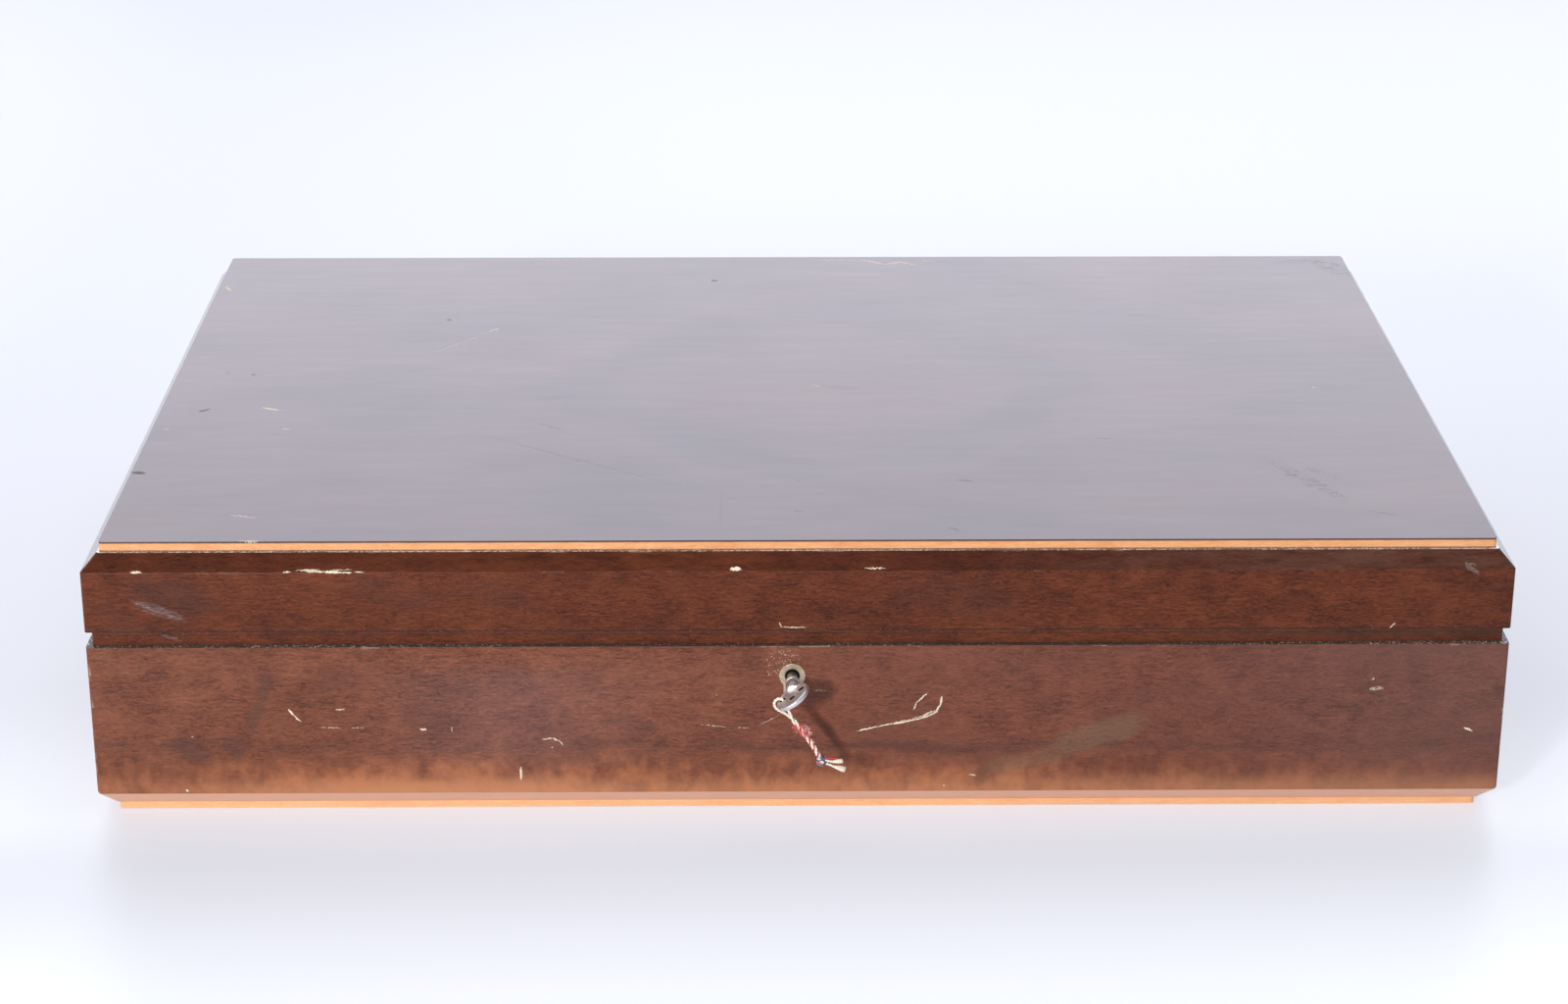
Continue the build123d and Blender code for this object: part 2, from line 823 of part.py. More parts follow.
def wall_linings():
    """Velvet-covered card on the four walls, mitred like them."""
    low = floor_top
    high = low + wall_lining_height
    ring = block(-inner_x, inner_x, -inner_y, inner_y, low, high)
    ring -= block(-lined_x, lined_x, -lined_y, lined_y, low - 1, high + 1)
    long_side = block(-inner_x, inner_x, -inner_y, -lined_y, low, high)
    short_side = block(-inner_x, -lined_x, -lined_y, lined_y, low, high)
    return {
        "front_lining": long_side,
        "back_lining": Rot(0, 0, 180) * long_side,
        "left_lining": short_side,
        "right_lining": Rot(0, 0, 180) * short_side,
    }


def bay_width():
    """The clear width of one bay."""
    return (2 * lined_x - (bay_count - 1) * divider_thickness) / bay_count


def bay_centres():
    """The bays' middles along X."""
    pitch = bay_width() + divider_thickness
    middle = (bay_count - 1) / 2
    return [(i - middle) * pitch for i in range(bay_count)]


def divider(x):
    """An upright board between two bays, with a rounded top edge."""
    half = divider_thickness / 2
    reach = lined_y - piece_gap
    board = block(x - half, x + half, -reach, reach, floor_top, floor_top + divider_height)
    top = [e for e in board.edges().filter_by(Axis.Y) if e.center().Z > floor_top + 1]
    return fillet(top, divider_rounding)


def rack_blank(centre, y, height):
    """A rack strip across a bay, with its long top edges rounded."""
    half = bay_width() / 2 - piece_gap
    half_rack = rack_thickness / 2
    top = floor_top + height
    blank = block(centre - half, centre + half, y - half_rack, y + half_rack, floor_top, top)
    rims = [e for e in blank.edges().filter_by(Axis.X) if e.center().Z > floor_top + 1]
    return fillet(rims, rack_edge_rounding)


def knife_rack(centre, y):
    """A rack with narrow slits, each flared at its mouth."""
    rack = rack_blank(centre, y, knife_rack_height)
    top = floor_top + knife_rack_height
    middle = (knife_slit_count - 1) / 2
    half = knife_slit_width / 2
    flare = half + knife_slit_flare
    for i in range(knife_slit_count):
        x = centre + (i - middle) * knife_slit_pitch
        outline = [
            (x - half, top - knife_slit_depth),
            (x + half, top - knife_slit_depth),
            (x + half, top - knife_slit_flare),
            (x + flare, top + 0.2),
            (x - flare, top + 0.2),
            (x - half, top - knife_slit_flare),
        ]
        face = make_face(Polyline(*outline, close=True))
        plane = Plane(origin=(0, y + rack_thickness, 0), x_dir=(1, 0, 0), z_dir=(0, -1, 0))
        rack -= extrude(plane * face, 2 * rack_thickness)
    return rack


def well_rack(centre, y, height, pitch, well_width, well_depth):
    """A rack with wide round-bottomed wells for stacked forks or spoons."""
    rack = rack_blank(centre, y, height)
    top = floor_top + height
    plane = Plane(origin=(0, y + rack_thickness, 0), x_dir=(1, 0, 0), z_dir=(0, -1, 0))
    half = well_width / 2
    middle = (well_count - 1) / 2
    for i in range(well_count):
        x = centre + (i - middle) * pitch
        sides = Polyline((x - half, top), (x - half, top + 1), (x + half, top + 1), (x + half, top))
        bottom = ThreePointArc((x + half, top), (x, top - well_depth), (x - half, top))
        rack -= extrude(plane * make_face(sides + bottom), 2 * rack_thickness)
    return rack


def lid_lining():
    """The lining band round the inside of the lid's walls."""
    high = lid_wall_top
    low = high - lid_lining_height
    band = block(-inner_x, inner_x, -inner_y, inner_y, low, high)
    clear_x = inner_x - lid_lining_thickness
    clear_y = inner_y - lid_lining_thickness
    return band - block(-clear_x, clear_x, -clear_y, clear_y, low - 1, high + 1)


def pad_plan(inset, z):
    """The cushion's outline at a height, drawn in by an inset."""
    reach = lid_lining_thickness + cushion_gap + inset
    outline = RectangleRounded(2 * (inner_x - reach), 2 * (inner_y - reach), cushion_corner)
    return Pos(0, 0, z) * outline


def lid_cushion():
    """The padded lining under the lid board: drawn-in sides and a crown that swells downwards."""
    top = lid_wall_top
    waist = top - cushion_edge / 2
    edge = top - cushion_edge
    sides = loft([pad_plan(cushion_side_draw, top), pad_plan(0, waist), pad_plan(cushion_side_draw, edge)])
    rings = [pad_plan(inset, edge - share * cushion_crown) for inset, share in crown_steps]
    crown = loft(rings, ruled=True)
    return sides + crown


def pierced_walls():
    """The body's and the lid's walls, with the recesses for hinges, lock and link plate."""
    body_walls = mitred(body_shell(), base_board_thickness - 1, body_top + 1)
    lid_walls = mitred(lid_shell(), lid_bottom - 1, lid_wall_top + 1)
    body_walls["front"] = body_walls["front"] - lock_pocket() - escutcheon_seat()
    for walls, on_lid in ((body_walls, False), (lid_walls, True)):
        for centre in hinge_centres:
            walls["back"] -= leaf_recess(centre, on_lid)
            for x in leaf_screw_xs(centre):
                point = leaf_screw_point(x, on_lid)
                walls["back"] -= screw_hole(point, leaf_screw_way(on_lid), *leaf_screw_sizes())
    lid_walls["front"] -= link_recess()
    for point in link_screw_points():
        lid_walls["front"] -= screw_hole(point, (0, 0, 1), *link_screw_sizes())
    return body_walls, lid_walls


def add_case():
    """Walls and boards."""
    body_walls, lid_walls = pierced_walls()
    for side in ("front", "back", "left", "right"):
        nodes[f"body_{side}_wall"] = body_walls[side]
        nodes[f"lid_{side}_wall"] = lid_walls[side]
    nodes["base_board"] = extrude(rounded_plan(base_board_inset, 0), base_board_thickness)
    nodes["lid_board"] = extrude(rounded_plan(lid_board_inset, lid_wall_top), lid_board_thickness)
    nodes["top_veneer"] = extrude(rounded_plan(lid_board_inset, board_top), veneer_thickness)


def add_inside():
    """Linings, cushion, dividers and racks."""
    nodes["floor_lining"] = block(-inner_x, inner_x, -inner_y, inner_y, base_board_thickness, floor_top)
    nodes.update(wall_linings())
    nodes["lid_lining"] = lid_lining()
    nodes["lid_cushion"] = lid_cushion()
    left_bay, knife_bay, right_bay = bay_centres()
    divider_x = (bay_width() + divider_thickness) / 2
    nodes["divider_left"] = divider(-divider_x)
    nodes["divider_right"] = divider(divider_x)
    fork_sizes = (fork_rack_height, fork_well_pitch, fork_well_width, fork_well_depth)
    spoon_sizes = (spoon_rack_height, spoon_well_pitch, spoon_well_width, spoon_well_depth)
    for end, side in (("front", -1), ("back", 1)):
        nodes[f"knife_rack_{end}"] = knife_rack(knife_bay, side * knife_rack_place)
        nodes[f"fork_rack_{end}"] = well_rack(left_bay, side * fork_rack_place, *fork_sizes)
        nodes[f"spoon_rack_{end}"] = well_rack(right_bay, side * spoon_rack_place, *spoon_sizes)


def add_hinges():
    """Both stop hinges with their pins and screws."""
    for name, centre in zip(("left", "right"), hinge_centres):
        nodes[f"hinge_body_leaf_{name}"] = hinge_leaf(centre, False)
        nodes[f"hinge_lid_leaf_{name}"] = hinge_leaf(centre, True)
    nodes["hinge_pins"] = group(hinge_pin(centre) for centre in hinge_centres)
    for name, on_lid in (("body", False), ("lid", True)):
        way = leaf_screw_way(on_lid)
        nodes[f"hinge_screws_{name}"] = group(
            screw(leaf_screw_point(x, on_lid), way, *leaf_screw_sizes(), screw_turn_step * x)
            for centre in hinge_centres
            for x in leaf_screw_xs(centre)
        )


def add_lock():
    """The lock in the body's front wall and the link plate in the lid's."""
    nodes["lock_plate"] = lock_plate()
    nodes["lock_case"] = lock_case()
    nodes["lock_spring"] = lock_spring()
    nodes["drill_pin"] = drill_pin()
    nodes["lock_bolt"] = lock_bolt()
    nodes["lock_screws"] = group(
        screw(point, (0, -1, 0), *lock_screw_sizes(), screw_turn_step * point[0])
        for point in lock_screw_points()
    )
    nodes["escutcheon"] = escutcheon()
    nodes["link_plate"] = link_plate()
    nodes["link_screws"] = group(
        screw(point, (0, 0, 1), *link_screw_sizes(), screw_turn_step * point[0])
        for point in link_screw_points()
    )


def add_key():
    """The key and its string."""
    nodes["key"] = key()
    nodes["key_cord"] = cord_tube(cord_route, "key_cord")
    nodes["cord_knot"] = cord_knot()
    tails = (("upper tail", upper_tail_route), ("lower tail", lower_tail_route))
    nodes["cord_tails"] = group(cord_tube(route, name) for name, route in tails)


add_case()
add_inside()
add_hinges()
add_lock()
add_key()
os.makedirs("parts", exist_ok=True)
for name, shape in nodes.items():
    export_step(shape, f"parts/{name}.step")
print(len(nodes), "nodes")
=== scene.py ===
# %% [markdown]
# # An old cutlery chest
# A low veneered box with a hinged lid, a brass-ringed keyhole and a key on a bit of string.
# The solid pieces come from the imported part. This file dresses them: it makes the camera, the
# string, the finishes, the padded lid lining, the light and the floor.

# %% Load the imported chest
import json
import math

import bmesh
import bpy
import numpy as np
from mathutils import Matrix, Vector


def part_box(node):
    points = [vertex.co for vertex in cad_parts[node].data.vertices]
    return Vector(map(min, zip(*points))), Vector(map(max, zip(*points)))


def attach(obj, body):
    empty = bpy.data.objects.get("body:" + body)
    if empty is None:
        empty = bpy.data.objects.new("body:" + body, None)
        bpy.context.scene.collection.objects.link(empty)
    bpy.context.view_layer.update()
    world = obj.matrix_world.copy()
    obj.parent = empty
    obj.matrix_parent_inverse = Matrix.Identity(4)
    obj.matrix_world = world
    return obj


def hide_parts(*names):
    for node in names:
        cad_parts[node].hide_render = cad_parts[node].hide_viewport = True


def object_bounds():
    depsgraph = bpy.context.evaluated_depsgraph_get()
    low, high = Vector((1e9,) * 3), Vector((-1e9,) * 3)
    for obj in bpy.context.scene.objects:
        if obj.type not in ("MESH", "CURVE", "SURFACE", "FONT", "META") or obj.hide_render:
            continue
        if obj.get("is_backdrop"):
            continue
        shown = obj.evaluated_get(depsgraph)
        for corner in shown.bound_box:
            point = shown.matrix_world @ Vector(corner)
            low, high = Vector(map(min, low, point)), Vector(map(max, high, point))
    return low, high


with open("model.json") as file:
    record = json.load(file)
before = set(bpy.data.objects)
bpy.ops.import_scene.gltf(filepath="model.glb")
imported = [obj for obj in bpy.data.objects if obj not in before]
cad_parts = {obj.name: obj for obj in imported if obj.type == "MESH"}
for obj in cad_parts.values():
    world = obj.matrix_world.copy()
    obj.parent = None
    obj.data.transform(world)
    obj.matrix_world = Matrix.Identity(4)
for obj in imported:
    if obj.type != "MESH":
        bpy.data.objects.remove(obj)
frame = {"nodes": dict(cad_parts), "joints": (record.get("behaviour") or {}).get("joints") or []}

cad_low, cad_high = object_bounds()
nodes = frame["nodes"]
MM = 0.001
print(len(nodes), "solid pieces, box", [round(v, 4) for v in cad_high - cad_low])

# %% [markdown]
# ## The camera
# The picture was taken from a little over a metre away, with a long lens, looking down at the
# lid by about 22 degrees. Its place and angles were found by fitting the case's corners.
# A camera could be aimed with a Track To constraint. Three turns multiplied together are used
# here, because they say plainly how far it looks round, down and askew.

# %% Make the camera
picture_width_px = 1600
focal_length_px = 3393.2
sensor_width_mm = 36.0
camera_place = Vector((-16.7, -1187.1, 520.9)) * MM
look_right = math.radians(0.645)
look_down = math.radians(21.62)
lean = math.radians(0.075)

camera_data = bpy.data.cameras.new("camera")
camera_data.sensor_fit = "HORIZONTAL"
camera_data.sensor_width = sensor_width_mm
camera_data.lens = focal_length_px * sensor_width_mm / picture_width_px
camera_data.clip_start = 0.05
camera_data.clip_end = 50.0
camera = bpy.data.objects.new("camera", camera_data)
bpy.context.scene.collection.objects.link(camera)
camera.matrix_world = (
    Matrix.Translation(camera_place)
    @ Matrix.Rotation(-look_right, 4, "Z")
    @ Matrix.Rotation(math.pi / 2 - look_down, 4, "X")
    @ Matrix.Rotation(lean, 4, "Z")
)
bpy.context.scene.camera = camera
print("camera lens", round(camera_data.lens, 2), "mm")

# %% [markdown]
# ## The string's line
# One thin string is folded through the key's bow and knotted below it, so it hangs as two legs.
# Its line could be drawn with Bezier handles. A NURBS spline is used, because its points are
# simply pulled towards, which gives the soft bends of a limp string.

# %% Lay the string's line
cord_y = -179.4
twist_route = [
    (-2.35, 43.1),
    (-0.95, 41.5),
    (0.45, 39.5),
    (1.95, 37.15),
    (3.65, 34.75),
    (5.5, 31.75),
    (6.75, 29.0),
]
loop_route = [
    (-2.35, 43.1),
    (-2.95, 44.9),
    (-3.75, 46.6),
    (-4.7, 48.3),
    (-5.45, 50.7),
    (-7.3, 51.15),
    (-8.75, 49.6),
    (-8.3, 47.4),
    (-6.6, 46.2),
    (-4.5, 45.1),
    (-2.35, 43.1),
]
upper_tail_route = [(8.55, 28.07), (10.1, 27.65), (12.2, 27.35), (14.5, 27.55)]
lower_tail_route = [(8.26, 26.98), (9.85, 26.55), (12.3, 25.3), (15.3, 24.4)]


def smooth_line(name, route):
    """The points along a NURBS spline through the string's plane, in metres."""
    data = bpy.data.curves.new(name, "CURVE")
    data.dimensions = "3D"
    data.resolution_u = 10
    spline = data.splines.new("NURBS")
    spline.points.add(len(route) - 1)
    for point, place in zip(spline.points, route):
        x, z = place
        point.co = (x * MM, cord_y * MM, z * MM, 1.0)
    spline.order_u = 3
    spline.use_endpoint_u = True
    holder = bpy.data.objects.new(name, data)
    bpy.context.scene.collection.objects.link(holder)
    bpy.context.view_layer.update()
    mesh = bpy.data.meshes.new_from_object(holder)
    line = [v.co.copy() for v in mesh.vertices]
    bpy.data.objects.remove(holder)
    bpy.data.meshes.remove(mesh)
    return line


def line_length(line):
    """How long a line of points is."""
    return sum((b - a).length for a, b in zip(line, line[1:]))


twist_line = smooth_line("twist_line", twist_route)
loop_line = smooth_line("loop_line", loop_route)
upper_tail_line = smooth_line("upper_tail_line", upper_tail_route)
lower_tail_line = smooth_line("lower_tail_line", lower_tail_route)
for line_name, line in (("legs", twist_line), ("loop", loop_line)):
    print(line_name, round(line_length(line) / MM, 2), "mm")

# %% [markdown]
# ## Tubes and twists
# String is spun: its plies wind round each other. A curve's own bevel would give one smooth
# pipe, so each ply is a tube of its own that winds round the line. The same two helpers later
# make the knot's turns and the loose fibres.

# %% Helpers for tubes and twists


def frames_along(line):
    """For each point: the point, and two directions square to the line that never flip."""
    found = []
    side = None
    for i, point in enumerate(line):
        ahead = line[min(i + 1, len(line) - 1)] - line[max(i - 1, 0)]
        ahead.normalize()
        if side is None:
            side = ahead.cross(Vector((0, 1, 0)))
            if side.length < 1e-6:
                side = ahead.cross(Vector((1, 0, 0)))
        side = side - ahead * side.dot(ahead)
        side.normalize()
        found.append((point, side.copy(), ahead.cross(side)))
    return found


def resampled(line, step):
    """The same line in even steps."""
    total = line_length(line)
    count = max(2, round(total / step))
    marks = [total * i / count for i in range(count + 1)]
    out, run, i = [], 0.0, 0
    for mark in marks:
        while i < len(line) - 2 and run + (line[i + 1] - line[i]).length < mark:
            run += (line[i + 1] - line[i]).length
            i += 1
        span = (line[i + 1] - line[i]).length or 1.0
        out.append(line[i].lerp(line[i + 1], min(1.0, (mark - run) / span)))
    return out


def wound(line, radius, pitch, start_turn):
    """A line that winds round another at a radius, one turn for each pitch."""
    out, run = [], 0.0
    framed = frames_along(line)
    for i, (point, side, up) in enumerate(framed):
        if i:
            run += (point - framed[i - 1][0]).length
        angle = 2 * math.pi * (start_turn + run / pitch)
        out.append(point + side * (radius * math.cos(angle)) + up * (radius * math.sin(angle)))
    return out


def tube_into(mesh, line, radius, sides=8, taper=1.0):
    """Adds a closed round tube along a line to a bmesh; taper is the last ring's share."""
    rings = []
    framed = frames_along(line)
    for i, (point, side, up) in enumerate(framed):
        share = i / (len(framed) - 1)
        r = radius * (1 + (taper - 1) * share)
        ring = []
        for k in range(sides):
            angle = 2 * math.pi * k / sides
            out = side * (r * math.cos(angle)) + up * (r * math.sin(angle))
            ring.append(mesh.verts.new(point + out))
        rings.append(ring)
    for low, high in zip(rings, rings[1:]):
        for k in range(sides):
            mesh.faces.new((low[k], low[(k + 1) % sides], high[(k + 1) % sides], high[k]))
    mesh.faces.new(list(reversed(rings[0])))
    mesh.faces.new(rings[-1])


def as_object(name, mesh):
    """Turns a bmesh into a smooth-shaded object with that name."""
    bmesh.ops.recalc_face_normals(mesh, faces=mesh.faces)
    data = bpy.data.meshes.new(name)
    mesh.to_mesh(data)
    mesh.free()
    for face in data.polygons:
        face.use_smooth = True
    piece = bpy.data.objects.new(name, data)
    bpy.context.scene.collection.objects.link(piece)
    return piece


print("helpers ready")

# %% [markdown]
# ## The string, its knot and its tails
# The string is two cream plies. Below the join its two legs twist round each other, and a red
# yarn lies in the groove between them, worked loose near the top in a small fuzz. The knot is
# wrapped in blue-grey, navy, white and pink, and the two tails end in a brush of fibres.

# %% Twist the two legs round each other
twist_radius = 0.43 * MM
twist_pitch = 5.6 * MM
fine_step = 0.16 * MM
twist_axis = resampled(twist_line, fine_step)
front_leg = wound(twist_axis, twist_radius, twist_pitch, 0.25)
back_leg = wound(twist_axis, twist_radius, twist_pitch, 0.75)


def through_bow():
    """The loop through the bow, which starts in front of the twist and ends behind it."""
    loop = resampled(loop_line, fine_step)
    last = len(loop) - 1
    ahead = [-twist_radius * math.cos(math.pi * i / last) for i in range(len(loop))]
    return [point + Vector((0, y, 0)) for point, y in zip(loop, ahead)]


def softened(line, rounds):
    """The same line with small kinks evened out."""
    for _ in range(rounds):
        inner = [(a + b * 2 + c) / 4 for a, b, c in zip(line, line[1:], line[2:])]
        line = [line[0], *inner, line[-1]]
    return line


string_path = list(reversed(front_leg)) + through_bow()[1:-1] + back_leg
string_path = softened(resampled(string_path, fine_step), rounds=12)
print("string", round(line_length(string_path) / MM, 2), "mm along its twist")

# %% Spin the two cream plies
ply_radius = 0.30 * MM
ply_offset = 0.21 * MM
ply_pitch = 2.3 * MM
string_mesh = bmesh.new()
for start_turn in (0.0, 0.5):
    tube_into(string_mesh, wound(string_path, ply_offset, ply_pitch, start_turn), ply_radius)
key_string = as_object("key_string", string_mesh)
print("string mesh", len(key_string.data.polygons), "faces")

# %% Lay the red yarn in the legs' grooves
yarn_start = 2.2 * MM
yarn_offset = 0.60 * MM
yarn_mesh = bmesh.new()
for start_turn, yarn_radius in ((0.5, 0.27 * MM), (0.0, 0.22 * MM)):
    yarn_line = wound(twist_axis, yarn_offset, twist_pitch, start_turn)
    tube_into(yarn_mesh, yarn_line[round(yarn_start / fine_step) :], yarn_radius, sides=6)
red_yarn = as_object("red_yarn", yarn_mesh)
print("red yarn", len(red_yarn.data.polygons), "faces")

# %% Fuzz of loose fibres round the join
fuzz_random = np.random.default_rng(7)
fuzz_ahead = 0.4
fibre_curl = 0.3 * MM
fibre_points = 7


def fuzz(name, centres, count, spread, reach, thin):
    """A cloud of short curled fibres round some points."""
    mesh = bmesh.new()
    for i in range(count):
        x, z = centres[i % len(centres)]
        base = Vector((x, cord_y - fuzz_ahead, z)) * MM + Vector(fuzz_random.normal(0, 1, 3)) * spread * MM
        way = Vector(fuzz_random.normal(0, 1, 3)) + Vector((0.5, 0.0, -0.4))
        way.normalize()
        curl = Vector(fuzz_random.normal(0, 1, 3)).cross(way)
        length = reach * fuzz_random.uniform(0.5, 1.0) * MM
        shares = np.linspace(0, 1, fibre_points)
        line = [base + way * (length * t) + curl * (fibre_curl * math.sin(3.0 * t)) for t in shares]
        tube_into(mesh, line, thin * MM, sides=4, taper=0.4)
    return as_object(name, mesh)


red_places = [(-1.1, 40.5), (0.2, 39.3), (1.4, 38.6), (1.9, 39.7)]
pale_places = [(1.9, 40.3), (2.6, 39.4), (3.1, 38.5), (3.6, 35.1)]
red_fuzz = fuzz("red_fuzz", red_places, count=120, spread=0.50, reach=1.9, thin=0.075)
pale_fuzz = fuzz("pale_fuzz", pale_places, count=44, spread=0.36, reach=1.4, thin=0.06)
fuzz_loop_mesh = bmesh.new()
fuzz_loop_radius = 0.25 * MM
loop_points = [(0.2, 39.8), (1.2, 40.8), (2.6, 40.1), (3.6, 38.7), (3.1, 37.9), (2.0, 38.3), (1.3, 37.8)]
fuzz_line = resampled(smooth_line("fuzz_loop_line", loop_points), fine_step)
tube_into(fuzz_loop_mesh, fuzz_line, fuzz_loop_radius, sides=6)
fuzz_loop = as_object("fuzz_loop", fuzz_loop_mesh)
print("fuzz", len(red_fuzz.data.polygons) + len(pale_fuzz.data.polygons), "faces")

# %% Wind the knot
knot_centre = Vector((7.15, cord_y, 27.95)) * MM
knot_radius = 1.28 * MM
knot_stretch = (0.85, 0.85, 1.45)
points_per_turn = 26


def wrap(name, radius, thin, turns, tilt, turn, lift):
    """Thread wound round the knot; tilt and turn lean its turns, lift spreads them."""
    turned = Matrix.Rotation(turn, 3, "Y") @ Matrix.Rotation(tilt, 3, "X")
    line = []
    for t in np.linspace(0, 1, points_per_turn * turns):
        angle = 2 * math.pi * turns * t
        round_knot = Vector((radius * math.cos(angle), (t - 0.5) * lift, radius * math.sin(angle)))
        line.append(knot_centre + turned @ (round_knot * MM))
    mesh = bmesh.new()
    tube_into(mesh, line, thin * MM, sides=6)
    return as_object(name, mesh)


core_mesh = bmesh.new()
core_ball = bmesh.ops.create_icosphere(core_mesh, subdivisions=3, radius=knot_radius)
bmesh.ops.scale(core_mesh, vec=knot_stretch, verts=core_ball["verts"])
bmesh.ops.translate(core_mesh, vec=knot_centre, verts=core_ball["verts"])
knot_core = as_object("knot_core", core_mesh)
knot_grey = wrap("knot_grey", radius=1.12, thin=0.32, turns=4, tilt=1.35, turn=0.3, lift=3.0)
knot_navy = wrap("knot_navy", radius=1.24, thin=0.20, turns=4, tilt=1.75, turn=-0.4, lift=2.8)
knot_white = wrap("knot_white", radius=1.30, thin=0.26, turns=2, tilt=1.25, turn=0.7, lift=0.8)
knot_pink = wrap("knot_pink", radius=1.40, thin=0.15, turns=2, tilt=1.8, turn=0.2, lift=1.1)
knot_pieces = [knot_core, knot_grey, knot_navy, knot_white, knot_pink]
print("knot", [p.name for p in knot_pieces])

# %% Tails with brushed-out ends
tail_mesh = bmesh.new()
tail_random = np.random.default_rng(3)
twisted_share = 0.80
tail_ply_offset, tail_ply_radius = 0.17 * MM, 0.26 * MM
tail_end_radius = 0.36
tail_fibres, tail_fibre_radius = 90, 0.12 * MM
steps_inside = 14
for line, thick_end in ((upper_tail_line, 0.62), (lower_tail_line, 0.88)):
    path = resampled(line, fine_step)
    cut = int(len(path) * twisted_share)
    for start_turn in (0.0, 0.5):
        tube_into(tail_mesh, wound(path[:cut], tail_ply_offset, ply_pitch, start_turn), tail_ply_radius)
    way = (path[-1] - path[cut - 2]).normalized()
    flare = (thick_end - tail_end_radius) * MM
    for _ in range(tail_fibres):
        aside = Vector(tail_random.uniform(-1, 1, 3))
        aside -= way * aside.dot(way)
        aside *= min(1.0, 1.0 / aside.length)
        start = path[cut - steps_inside] + aside * (tail_end_radius * MM)
        reach = (path[-1] - path[cut - steps_inside]).length * tail_random.uniform(0.93, 1.04)
        shares = np.linspace(0, 1, fibre_points)
        fibre = [start + way * (reach * t) + aside * (flare * math.sin(t * 1.9)) for t in shares]
        tube_into(tail_mesh, fibre, tail_fibre_radius, sides=4, taper=0.8)
string_tails = as_object("string_tails", tail_mesh)
tail_thread_mesh = bmesh.new()
tail_thread_radius = 0.16 * MM
thread_points = [(7.6, 28.9), (9.2, 28.85), (11.0, 28.75), (12.8, 28.5)]
thread_line = resampled(smooth_line("tail_thread_line", thread_points), fine_step)
tube_into(tail_thread_mesh, thread_line, tail_thread_radius, sides=6)
tail_thread = as_object("tail_thread", tail_thread_mesh)
print("tails", len(string_tails.data.polygons), "faces")

# %% Say what the string is
beside_string = [red_yarn, red_fuzz, pale_fuzz, fuzz_loop, tail_thread, string_tails, *knot_pieces]
for piece in [key_string, *beside_string]:
    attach(piece, "key_cord")
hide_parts("key_cord")
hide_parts("cord_knot")
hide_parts("cord_tails")
print("string declared")

# %% [markdown]
# ## Building materials from nodes
# Every finish is a small graph of shader nodes. Each node could be added and linked by hand,
# but long sums are hard to read that way. So a Value stands for a node's output, and a sum such
# as value * 2 + 1 makes the arithmetic nodes. The helpers find the node tree from the values
# that they are given. A Value is linked to a socket, and a plain number or colour is set.

# %% Helpers for shader nodes


def arithmetic(operation, turned=False):
    """A method that makes one arithmetic node; turned puts the other value first."""

    def step(value, other):
        return calc(operation, *((other, value) if turned else (value, other)))

    return step


class Value:
    """A node's output, which sums can use like a number."""

    def __init__(self, socket):
        self.socket = socket

    __add__ = arithmetic("ADD")
    __sub__ = arithmetic("SUBTRACT")
    __rsub__ = arithmetic("SUBTRACT", turned=True)
    __mul__ = arithmetic("MULTIPLY")
    __truediv__ = arithmetic("DIVIDE")
    __rtruediv__ = arithmetic("DIVIDE", turned=True)


def tree_of(*values):
    """The node tree that the first Value among the values is in."""
    return next(value.socket.id_data for value in values if isinstance(value, Value))


def results(node):
    """A node's outputs by name."""
    return {output.name: Value(output) for output in node.outputs}


def put(socket, value):
    """Links a socket to a Value, or sets it to a plain value."""
    if isinstance(value, Value):
        socket.id_data.links.new(value.socket, socket)
    elif hasattr(value, "__len__") and len(value) == 3 and len(socket.default_value) == 4:
        socket.default_value = (*value, 1.0)
    else:
        socket.default_value = value


def add(tree, kind, inputs=None, **settings):
    """Adds a shader node with its settings and inputs, and returns its results."""
    node = tree.nodes.new("ShaderNode" + kind)
    for name, value in settings.items():
        setattr(node, name, value)
    for name, value in (inputs or {}).items():
        put(node.inputs[name], value)
    return results(node)


def calc(operation, *values, clamp=False):
    """One arithmetic step."""
    inputs = dict(enumerate(values))
    return add(tree_of(*values), "Math", inputs, operation=operation, use_clamp=clamp)["Value"]


def vector_calc(operation, *values, result="Vector"):
    """One vector step."""
    return add(tree_of(*values), "VectorMath", dict(enumerate(values)), operation=operation)[result]


def split_up(vector):
    """A vector's X, Y and Z."""
    return add(tree_of(vector), "SeparateXYZ", {"Vector": vector})


def joined(**parts):
    """A vector from its X, Y and Z."""
    return add(tree_of(*parts.values()), "CombineXYZ", parts)["Vector"]


def mixed(share, first, second):
    """Mixes two colours, whose sockets are the Mix node's seventh and eighth."""
    inputs = {0: share, 6: first, 7: second}
    tree = tree_of(share, first, second)
    add(tree, "Mix", inputs, data_type="RGBA")
    return Value(tree.nodes[-1].outputs[2])


def ramp_up(value, low, high, start=0.0, end=1.0):
    """The start value below low, the end value above high, and a smooth change between."""
    inputs = dict(enumerate((value, low, high, start, end)))
    return add(tree_of(value), "MapRange", inputs, interpolation_type="SMOOTHSTEP")["Result"]


def between(value, low, high, soft):
    """A band mask: 1 between low and high, with soft ends."""
    return ramp_up(value, low - soft, low + soft) - ramp_up(value, high - soft, high + soft)


def noise(place, scale, detail=3.0, roughness=0.55, distortion=0.0, result="Fac"):
    """A cloudy value round 0.5, or a cloudy colour; three scales stretch it."""
    if isinstance(scale, tuple):
        place, scale = vector_calc("MULTIPLY", place, scale), 1.0
    inputs = {
        "Vector": place,
        "Scale": scale,
        "Detail": detail,
        "Roughness": roughness,
        "Distortion": distortion,
    }
    return add(tree_of(place), "TexNoise", inputs)[result]


SOCKET_KINDS = {"value": "NodeSocketFloat", "colour": "NodeSocketColor", "vector": "NodeSocketVector"}


